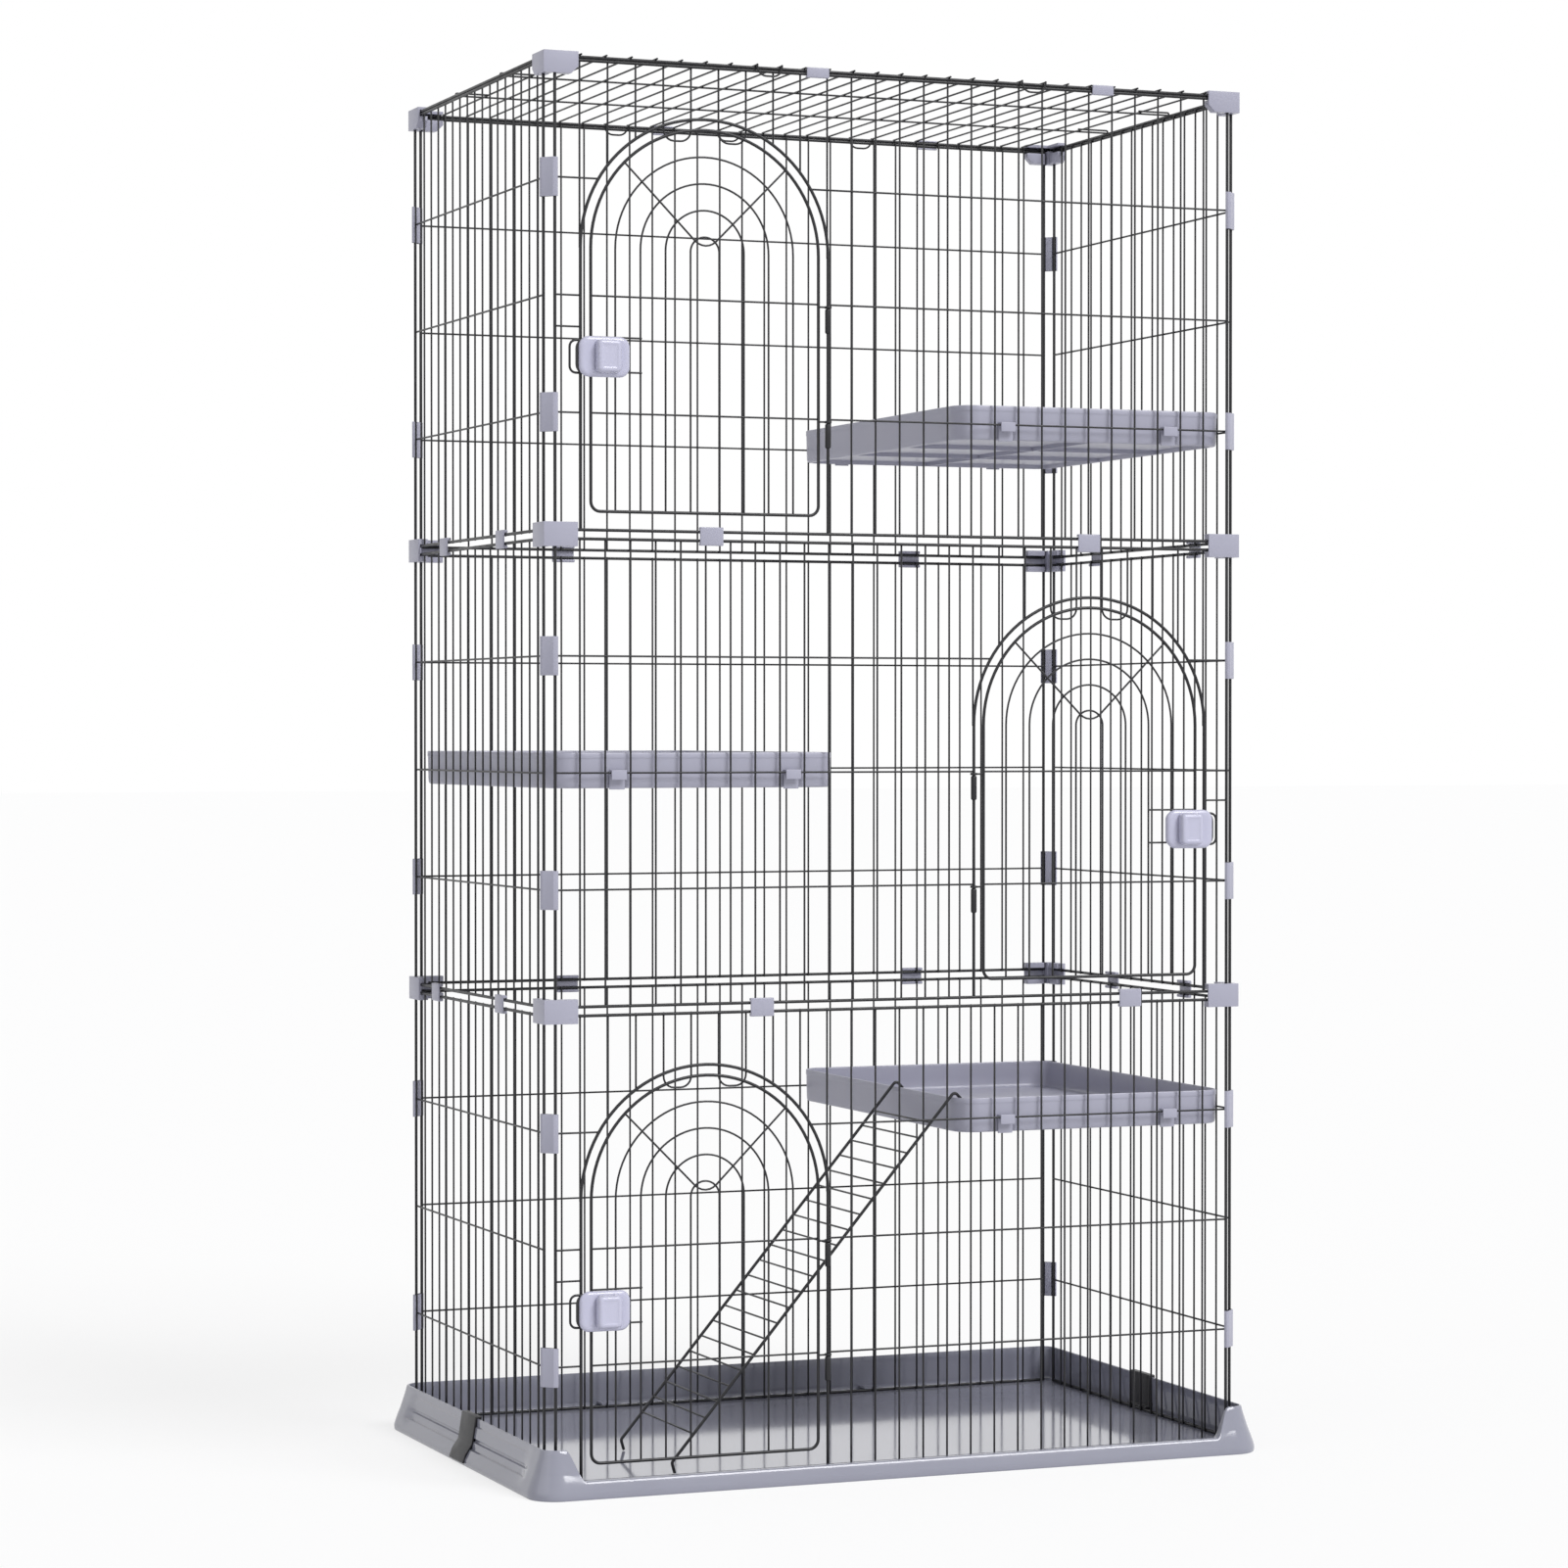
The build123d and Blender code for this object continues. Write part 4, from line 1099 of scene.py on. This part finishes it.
@dataclass
class Ladder:
    """The ladder: two stringers with hooked tops and bent feet, and rungs welded on them."""

    front: float = -250.0
    width: float = 188.0
    lean: float = 386.0
    apex: tuple[float, float] = (86.7, 479.05)
    tip: tuple[float, float] = (9.5, -10.5)
    foot: tuple[float, float] = (4.0, -13.5)
    foot_level: float = 13.97
    bend: float = 5.0
    rungs: int = 21
    pitch: float = 24.9
    start: float = 45.0

    def build(self) -> None:
        """Make the stringers and the rungs."""
        apex = np.array(self.apex)
        end = np.array([apex[0] - self.lean + self.foot[0], self.foot_level])
        ankle = np.array([apex[0] - self.lean, end[1] - self.foot[1]])
        run = rounded(np.array([end, ankle, apex, apex + self.tip]), self.bend)
        skin = Skin()
        for y in (self.front, self.front + self.width):
            line = np.stack([run[:, 0], np.full(len(run), y), run[:, 1]], axis=-1)
            wire(skin, line, BAR, BACKWARDS, sides=12)
        dress(skin.piece("ladder_stringer_wires"), BLACK_WIRE, "wire", "ladder", "ladder_stringers")
        skin = Skin()
        along = unit(apex - ankle)
        for rung in range(self.rungs):
            x, z = ankle + along * (self.start + self.pitch * rung)
            line = np.array([(x, self.front, z), (x, self.front + self.width, z)])
            wire(skin, line, WIRE, UP)
        dress(skin.piece("ladder_rung_wires"), BLACK_WIRE, "wire", "ladder", "ladder_rungs")


@dataclass(frozen=True)
class Turn:
    """One turn round the tray: points of the walls' rectangle, and what belongs to each of them.

    That is the way outwards (out_x, out_y), the height of the rim (top), and how far the skirt has its ridges
    there (ridged), from 0 at the corners to 1 along the sides.
    """

    x: np.ndarray
    y: np.ndarray
    out_x: np.ndarray
    out_y: np.ndarray
    top: np.ndarray
    ridged: np.ndarray

    def at(self, outset: np.ndarray, height: np.ndarray) -> np.ndarray:
        """Rows of x, y and z at an outset and a height, each one number or one for each point."""
        height = np.broadcast_to(height, self.x.shape)
        return np.stack([self.x + self.out_x * outset, self.y + self.out_y * outset, height], axis=-1)


@dataclass
class Tray:
    """The base tray: a moulded skirt with a bead, a ledge and a groove, a low front lip and a glossy floor.

    The profiles hold pairs of a height and an outset from the walls' rectangle. The cove and the pocket hold
    pairs of an outset and a height.
    """

    skirt: tuple[tuple[float, float], ...] = (
        (0.0, 36.0), (0.8, 36.8), (2.6, 37.3), (5.5, 37.5), (8.2, 37.1), (11.0, 36.0), (14.0, 34.4),
        (17.0, 32.8), (19.5, 31.4), (20.6, 30.6), (21.4, 27.4), (23.0, 26.6), (28.0, 26.0), (30.0, 25.6),
        (31.0, 23.0), (32.5, 22.2), (34.5, 22.6), (35.5, 24.6), (38.0, 24.4), (44.0, 23.2), (49.0, 22.4),
        (50.5, 20.6), (54.0, 20.4), (60.0, 20.0),
    )
    swept: tuple[tuple[float, float], ...] = (
        (0.0, 36.0), (0.8, 36.8), (2.6, 37.3), (5.5, 37.5), (8.2, 37.3), (15.0, 35.2), (22.5, 32.4),
        (31.0, 29.0), (40.0, 26.0), (47.0, 23.6), (54.0, 21.6), (60.0, 20.0),
    )
    inside: tuple[tuple[float, float], ...] = ((13.0, 19.8), (60.0, 17.0))
    inside_heights: tuple[float, ...] = (45.0, 30.0, 20.0)
    cove: tuple[tuple[float, float], ...] = ((19.5, 15.6), (18.8, 13.9), (16.6, 13.0), (12.0, 13.0))
    pocket: tuple[tuple[float, float], ...] = ((33.0, 0.0), (31.5, 10.0), (26.0, 10.0))
    floor: float = 13.0
    lip: float = 22.0
    rim: float = 60.0
    rim_edge: float = 1.2
    rim_easing: float = 0.35

    window: tuple[float, float] = (433.0, 456.0)
    window_margin: float = 2.0
    window_points: int = 12
    long_reach: float = 400.0
    long_points: int = 9
    long_end: float = 459.5
    side_reach: float = 180.0
    side_points: int = 5
    side_end: float = 1.0
    fade_start: float = 18.0
    fade_length: float = 36.0
    fade_points: int = 9
    corner_points: int = 12

    rib_columns: tuple[float, ...] = (-277.2, -92.4, 92.4, 277.2)
    rib_rows: tuple[float, ...] = (-92.9, 92.9)
    rib_reach: float = 32.0
    rib_half: float = 1.5
    rib_heights: tuple[float, float] = (1.5, 10.2)
    tab_places: tuple[float, float] = (-195.0, 195.0)
    tab_half: float = 10.0
    tab_reach: tuple[float, float] = (-2.0, 20.5)
    tab_heights: tuple[float, float] = (17.0, 19.5)

    def straights(self) -> tuple[np.ndarray, np.ndarray]:
        """Lay out points along a long and a short side, closer where the rim or the ridges change.

        Returns:
            Places along x, and places along y.
        """
        half_y = CAGE_DEPTH / 2
        start, end = self.window
        slope = np.linspace(start - self.window_margin, end + self.window_margin, self.window_points)
        steps = np.concatenate([slope, [self.long_end]])
        middle = np.linspace(-self.long_reach, self.long_reach, self.long_points)
        fade = np.linspace(
            self.fade_start - half_y, self.fade_start + self.fade_length - half_y, self.fade_points
        )
        near = np.concatenate([[self.side_end - half_y], fade])
        between = np.linspace(-self.side_reach, self.side_reach, self.side_points)
        return np.concatenate([-steps[::-1], middle, steps]), np.concatenate([near, between, -near[::-1]])

    def plan(self) -> Turn:
        """Lay out the turn.

        Round a corner (cos(a), sin(a)) points outwards, and along a side its normal does.

        Returns:
            The turn, from the front left corner anticlockwise.
        """
        half_x, half_y = CAGE_WIDTH / 2, CAGE_DEPTH / 2
        quarter = np.linspace(0, np.pi / 2, self.corner_points)
        along_x, along_y = self.straights()
        parts = []
        for number, (x, y) in enumerate(((-1, -1), (1, -1), (1, 1), (-1, 1))):
            swing = quarter + np.pi + number * np.pi / 2
            parts.append(np.broadcast_arrays(x * half_x, y * half_y, np.cos(swing), np.sin(swing)))
            run = (along_x, along_y, along_x[::-1], along_y[::-1])[number]
            if number % 2 == 0:
                parts.append(np.broadcast_arrays(run, y * half_y, 0.0, y))
            else:
                parts.append(np.broadcast_arrays(x * half_x, run, x, 0.0))
        x, y, out_x, out_y = np.concatenate([np.stack(part, axis=-1) for part in parts]).T
        start, end = self.window
        rise = np.clip((np.abs(x) - start) / (end - start), 0, 1)
        low = (out_y == -1) & (np.abs(x) <= self.long_end)
        top = np.where(low, self.lip + (self.rim - self.lip) * self.eased(rise), self.rim)
        sideways = np.clip((half_y - np.abs(y) - self.fade_start) / self.fade_length, 0, 1) * (out_y == 0)
        behind = np.clip((half_x - np.abs(x) - self.fade_start) / self.fade_length, 0, 1) * (out_y == 1)
        return Turn(x, y, out_x, out_y, top, self.eased(np.maximum(sideways, behind)))

    def eased(self, share: np.ndarray) -> np.ndarray:
        """Ease a share s at both its ends, as s^2 (3 - 2 s)."""
        return share * share * (3 - 2 * share)

    def outer(self, turn: Turn, height: np.ndarray) -> np.ndarray:
        """Outset of the skirt at a height: the ridged and the swept profile, mixed by the share of ridges.

        Args:
            turn: The turn round the tray.
            height: A height for each of its points.

        Returns:
            An outset for each point.
        """
        levels, ridged = np.array(self.skirt).T
        swept = np.interp(levels, *np.array(self.swept).T)
        ridged_part = turn.ridged * np.interp(height, levels, ridged)
        return ridged_part + (1 - turn.ridged) * np.interp(height, levels, swept)

    def inner(self, height: np.ndarray) -> np.ndarray:
        """Outset of the wall's inner face at a height."""
        return np.interp(height, *np.array(self.inside).T)

    def shell(self, skin: Skin, turn: Turn) -> None:
        """Add the skirt, rim, inner wall and floor.

        Row by row, the turn goes up the skirt, over its rim, down inside and in over the floor.

        Args:
            skin: Where they go.
            turn: The turn round the tray.
        """
        edge = self.rim - self.rim_edge
        scale = (turn.top - self.rim_edge) / edge
        rows = [turn.at(*self.pocket[0])]
        for height in np.minimum(np.array(self.skirt)[:, 0], edge):
            rows.append(turn.at(self.outer(turn, height * scale), height * scale))
        near, far = self.outer(turn, turn.top), self.inner(turn.top)
        rows.append(turn.at(near - self.rim_easing, turn.top - self.rim_easing))
        rows.append(turn.at(near - self.rim_edge, turn.top))
        rows.append(turn.at(far + self.rim_edge, turn.top))
        rows.append(turn.at(far + self.rim_easing, turn.top - self.rim_easing))
        for height in (edge, *self.inside_heights):
            share = (height - self.floor) / (edge - self.floor)
            level = self.floor + (turn.top - self.rim_edge - self.floor) * share
            rows.append(turn.at(self.inner(level), level))
        rows += [turn.at(outset, height) for outset, height in self.cove]
        around = len(turn.x)
        count = len(rows) * around
        skin.add(
            np.concatenate(rows + [[(0.0, 0.0, self.floor)]]),
            ring_faces(len(rows), around, False),
            fan(around, count - around, count, False),
        )

    def below(self, skin: Skin, turn: Turn) -> None:
        """Add the hollow underside with its ribs, and the tabs that hold the back wall down.

        Args:
            skin: Where they go.
            turn: The turn round the tray.
        """
        rows = [turn.at(outset, height) for outset, height in self.pocket]
        around = len(turn.x)
        count = len(rows) * around
        skin.add(
            np.concatenate(rows + [[(0.0, 0.0, self.pocket[-1][1])]]),
            ring_faces(len(rows), around, False)[:, ::-1],
            fan(around, count - around, count, True),
        )
        reach_x, reach_y = CAGE_WIDTH / 2 + self.rib_reach, CAGE_DEPTH / 2 + self.rib_reach
        foot, head = self.rib_heights
        lows = [(x - self.rib_half, -reach_y, foot) for x in self.rib_columns]
        lows += [(-reach_x, y - self.rib_half, foot) for y in self.rib_rows]
        highs = [(x + self.rib_half, reach_y, head) for x in self.rib_columns]
        highs += [(reach_x, y + self.rib_half, head) for y in self.rib_rows]
        front, back = (CAGE_DEPTH / 2 + reach for reach in self.tab_reach)
        foot, head = self.tab_heights
        lows += [(x - self.tab_half, front, foot) for x in self.tab_places]
        highs += [(x + self.tab_half, back, head) for x in self.tab_places]
        boxes(skin, lows, highs)

    def build(self) -> None:
        """Make the tray as one piece."""
        turn = self.plan()
        skin = Skin()
        self.shell(skin, turn)
        self.below(skin, turn)
        piece = skin.piece("base_tray_shell", MOULDED_ANGLE)
        merge(piece)
        dress(piece, TRAY_PLASTIC, "tray", "cage", "base_tray")


def merge(piece: bpy.types.Object) -> None:
    """Join points of a piece that lie in the same place, and turn its faces outwards.

    Args:
        piece: The object, whose mesh is changed.
    """
    shape = bmesh.new()
    shape.from_mesh(piece.data)
    bmesh.ops.remove_doubles(shape, verts=shape.verts, dist=TRAY_GAP * METRE)
    bmesh.ops.recalc_face_normals(shape, faces=shape.faces)
    shape.to_mesh(piece.data)
    shape.free()


@dataclass
class Shelves:
    """The three shelves: shallow moulded trays with a beaded rim, a drafted wall and ribs below.

    The rows are pairs of an inset and a height. They go up the outside, over the rim and down to the floor.
    """

    width: float = 380.0
    depth: float = 541.5
    end_gap: float = 9.5
    corner: float = 30.0
    corner_points: int = 12
    drop: float = 19.0
    rows: tuple[tuple[float, float], ...] = (
        (10.0, 5.0), (9.0, 0.0), (4.6, 0.0), (2.6, 0.9), (1.5, 3.0), (1.2, 7.0), (0.8, 22.0), (0.6, 35.0),
        (0.5, 36.6), (0.05, 37.4), (0.0, 38.4), (0.0, 42.6), (0.5, 43.6), (1.5, 44.0), (2.4, 43.9),
        (3.1, 43.2), (3.4, 42.0), (3.9, 24.0), (4.6, 13.0), (5.6, 10.2), (7.6, 8.5), (11.0, 8.0), (15.0, 8.0),
    )
    rib_inset: float = 9.0
    rib_half: float = 1.5
    rib_height: float = 5.3
    rib_rows: tuple[float, float] = (-86.9, 86.9)

    def ribs(self, skin: Skin, centre: float, foot: float) -> None:
        """Add the ribs below a shelf.

        Args:
            skin: Where they go.
            centre: The shelf's middle along x.
            foot: Its lowest height.
        """
        half_x, half_y = self.width / 2 - self.rib_inset, self.depth / 2 - self.rib_inset
        head = foot + self.rib_height
        lows = [(centre - self.rib_half, -half_y, foot)]
        lows += [(centre - half_x, y - self.rib_half, foot) for y in self.rib_rows]
        highs = [(centre + self.rib_half, half_y, head)]
        highs += [(centre + half_x, y + self.rib_half, head) for y in self.rib_rows]
        boxes(skin, lows, highs)

    def build(self) -> None:
        """Make each shelf as one closed shell: the outline shrinks by each row's inset at its height."""
        for tier in Tier:
            centre = tier.shelf_hand * (SIDE_X - self.end_gap - self.width / 2)
            foot = tier.base + tier.shelf_wire - self.drop
            rings = []
            for inset, height in self.rows:
                size = (self.width - 2 * inset, self.depth - 2 * inset)
                flat = outline(*size, self.corner - inset, self.corner_points) + (centre, 0.0)
                rings.append(np.column_stack([flat, np.full(len(flat), foot + height)]))
            around = len(rings[0])
            count = len(rings) * around
            poles = [(centre, 0.0, foot + self.rows[end][1]) for end in (0, -1)]
            skin = Skin()
            skin.add(
                np.concatenate(rings + [poles]),
                ring_faces(len(rings), around, False),
                fan(around, 0, count, True),
                fan(around, count - around, count + 1, False),
            )
            self.ribs(skin, centre, foot)
            name = f"shelf_{tier.label}"
            dress(skin.piece(f"{name}_shell", MOULDED_ANGLE), LAVENDER_PLASTIC, "shelf", "cage", name)


@dataclass
class Fittings:
    """The moulded fittings on the cage's edges, whose outlines are right and whose edges are rounded."""

    rounding: dict[str, float] = field(
        default_factory=lambda: {
            "lower_connector": 3.0, "upper_connector": 3.0, "top_cap": 3.0, "corner_clips": 1.1,
            "edge_clips": 1.1, "roof_clips": 0.9, "shelf_clips": 0.6, "tray_buckle": 0.7,
        }
    )

    def build(self, frame: dict) -> None:
        """Make a rounded copy of each fitting.

        Args:
            frame: The loaded frame.
        """
        for node in sorted(frame["nodes"]):
            kind = next((start for start in self.rounding if node.startswith(start)), None)
            if kind is None:
                continue
            black = kind == "tray_buckle"
            finish = BUCKLE_AND_SHADE_BLACK if black else LAVENDER_PLASTIC
            copy = smoothed_copy(frame, node, f"{node}_moulded", self.rounding[kind])
            dress(copy, finish, "buckle" if black else "fitting", "cage", node)


@dataclass(frozen=True)
class Lamp:
    """A distant soft lamp: its strength, its spread in degrees, and how it is turned, in degrees."""

    name: str
    strength: float
    spread: float
    tilt: tuple[float, float, float]

    def add(self) -> None:
        """Add the lamp to the scene."""
        data = bpy.data.lights.new(self.name, "SUN")
        data.energy = self.strength
        data.angle = math.radians(self.spread)
        made = bpy.data.objects.new(self.name, data)
        made.rotation_euler = tuple(math.radians(turn) for turn in self.tilt)
        bpy.context.scene.collection.objects.link(made)


@dataclass
class Studio:
    """The pale floor, the soft lights and the camera at the photograph's place, in metres and degrees."""

    eye: tuple[float, float, float] = (-2.1668, -5.281, 0.9397)
    yaw: float = 21.86
    pitch: float = -0.7
    lens: float = 98.92
    sensor: float = 36.0
    far_clip: float = 200.0
    ambient: float = 0.36
    backdrop: float = 1.0
    floor_reach: float = 60.0
    floor_colour: tuple[float, float, float, float] = (0.93, 0.93, 0.94, 1.0)
    floor_roughness: float = 0.85
    floor_glow: float = 0.74
    lamps: tuple[Lamp, ...] = (
        Lamp("key_lamp", 2.5, 30.0, (46.0, 0.0, 30.0)),
        Lamp("left_lamp", 0.35, 50.0, (58.0, 0.0, -75.0)),
    )

    def camera(self) -> None:
        """Make the camera, turned right by its yaw and down by its pitch."""
        data = bpy.data.cameras.new("photograph_camera")
        data.lens = self.lens
        data.sensor_width = self.sensor
        data.clip_end = self.far_clip
        made = bpy.data.objects.new("photograph_camera", data)
        made.location = self.eye
        made.rotation_euler = (math.radians(90 + self.pitch), 0.0, math.radians(-self.yaw))
        bpy.context.scene.collection.objects.link(made)
        bpy.context.scene.camera = made

    def backdrop_share(self, tree: bpy.types.NodeTree) -> bpy.types.NodeSocket:
        """Add nodes that tell what is seen from what lights the object.

        Args:
            tree: The nodes of a world or a material.

        Returns:
            A value that is 1 for rays from the camera, a reflection or glass, and 0 for light on the object.
        """
        path = tree.nodes.new("ShaderNodeLightPath")
        share = path.outputs["Is Camera Ray"]
        for ray in ("Is Glossy Ray", "Is Transmission Ray"):
            either = tree.nodes.new("ShaderNodeMath")
            either.operation = "MAXIMUM"
            tree.links.new(share, either.inputs[0])
            tree.links.new(path.outputs[ray], either.inputs[1])
            share = either.outputs[0]
        return share

    def world(self) -> None:
        """Make the world: white where it is seen, and soft grey light where it lights the object."""
        world = bpy.data.worlds.new("studio_world")
        bpy.context.scene.world = world
        world.use_nodes = True
        tree = world.node_tree
        shade = tree.nodes["Background"]
        shade.inputs["Color"].default_value = (1.0, 1.0, 1.0, 1.0)
        strength = tree.nodes.new("ShaderNodeMapRange")
        strength.inputs["To Min"].default_value = self.ambient
        strength.inputs["To Max"].default_value = self.backdrop
        tree.links.new(self.backdrop_share(tree), strength.inputs["Value"])
        tree.links.new(strength.outputs["Result"], shade.inputs["Strength"])

    def floor(self) -> None:
        """Make the floor: a pale matte sheet that shows nearly white to the camera and keeps the shadow."""
        mesh = bpy.data.meshes.new("studio_floor")
        end = self.floor_reach
        mesh.from_pydata([(-end, -end, 0), (end, -end, 0), (end, end, 0), (-end, end, 0)], [], [(0, 1, 2, 3)])
        floor = bpy.data.objects.new("studio_floor", mesh)
        bpy.context.scene.collection.objects.link(floor)
        made = bpy.data.materials.new("pale_floor")
        made.use_nodes = True
        tree = made.node_tree
        matte = tree.nodes["Principled BSDF"]
        matte.inputs["Base Color"].default_value = self.floor_colour
        matte.inputs["Roughness"].default_value = self.floor_roughness
        glow = tree.nodes.new("ShaderNodeEmission")
        mix = tree.nodes.new("ShaderNodeMixShader")
        share = tree.nodes.new("ShaderNodeMath")
        share.operation = "MULTIPLY"
        share.inputs[1].default_value = self.floor_glow
        tree.links.new(self.backdrop_share(tree), share.inputs[0])
        tree.links.new(share.outputs[0], mix.inputs["Fac"])
        tree.links.new(matte.outputs["BSDF"], mix.inputs[1])
        tree.links.new(glow.outputs["Emission"], mix.inputs[2])
        output = tree.nodes["Material Output"]
        tree.links.new(mix.outputs["Shader"], output.inputs["Surface"])
        mesh.materials.append(made)
        floor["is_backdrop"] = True

    def build(self) -> None:
        """Set the stage."""
        bpy.context.scene.view_settings.view_transform = "Standard"
        self.camera()
        self.world()
        self.floor()
        for lamp in self.lamps:
            lamp.add()


def write_sizes(before: list, after: list) -> None:
    """Put the frame's box and the visual model's box into plain lists of numbers, which are then dropped.

    Args:
        before: Opposite corners of the box round the frame.
        after: The same for the finished model.
    """
    plain = lambda pair: [[float(value) for value in corner] for corner in pair]
    {"cad": plain(before), "visual": plain(after)}


def main() -> None:
    """Build the pieces in order around the frame."""
    logging.basicConfig(level=logging.INFO)
    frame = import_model()
    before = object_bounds()
    Studio().build()
    WirePanels().build()
    Doors().build()
    Latches().build()
    Roof().build()
    Ladder().build()
    Tray().build()
    Shelves().build()
    Fittings().build(frame)
    write_sizes(before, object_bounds())


if __name__ == "__main__":
    main()
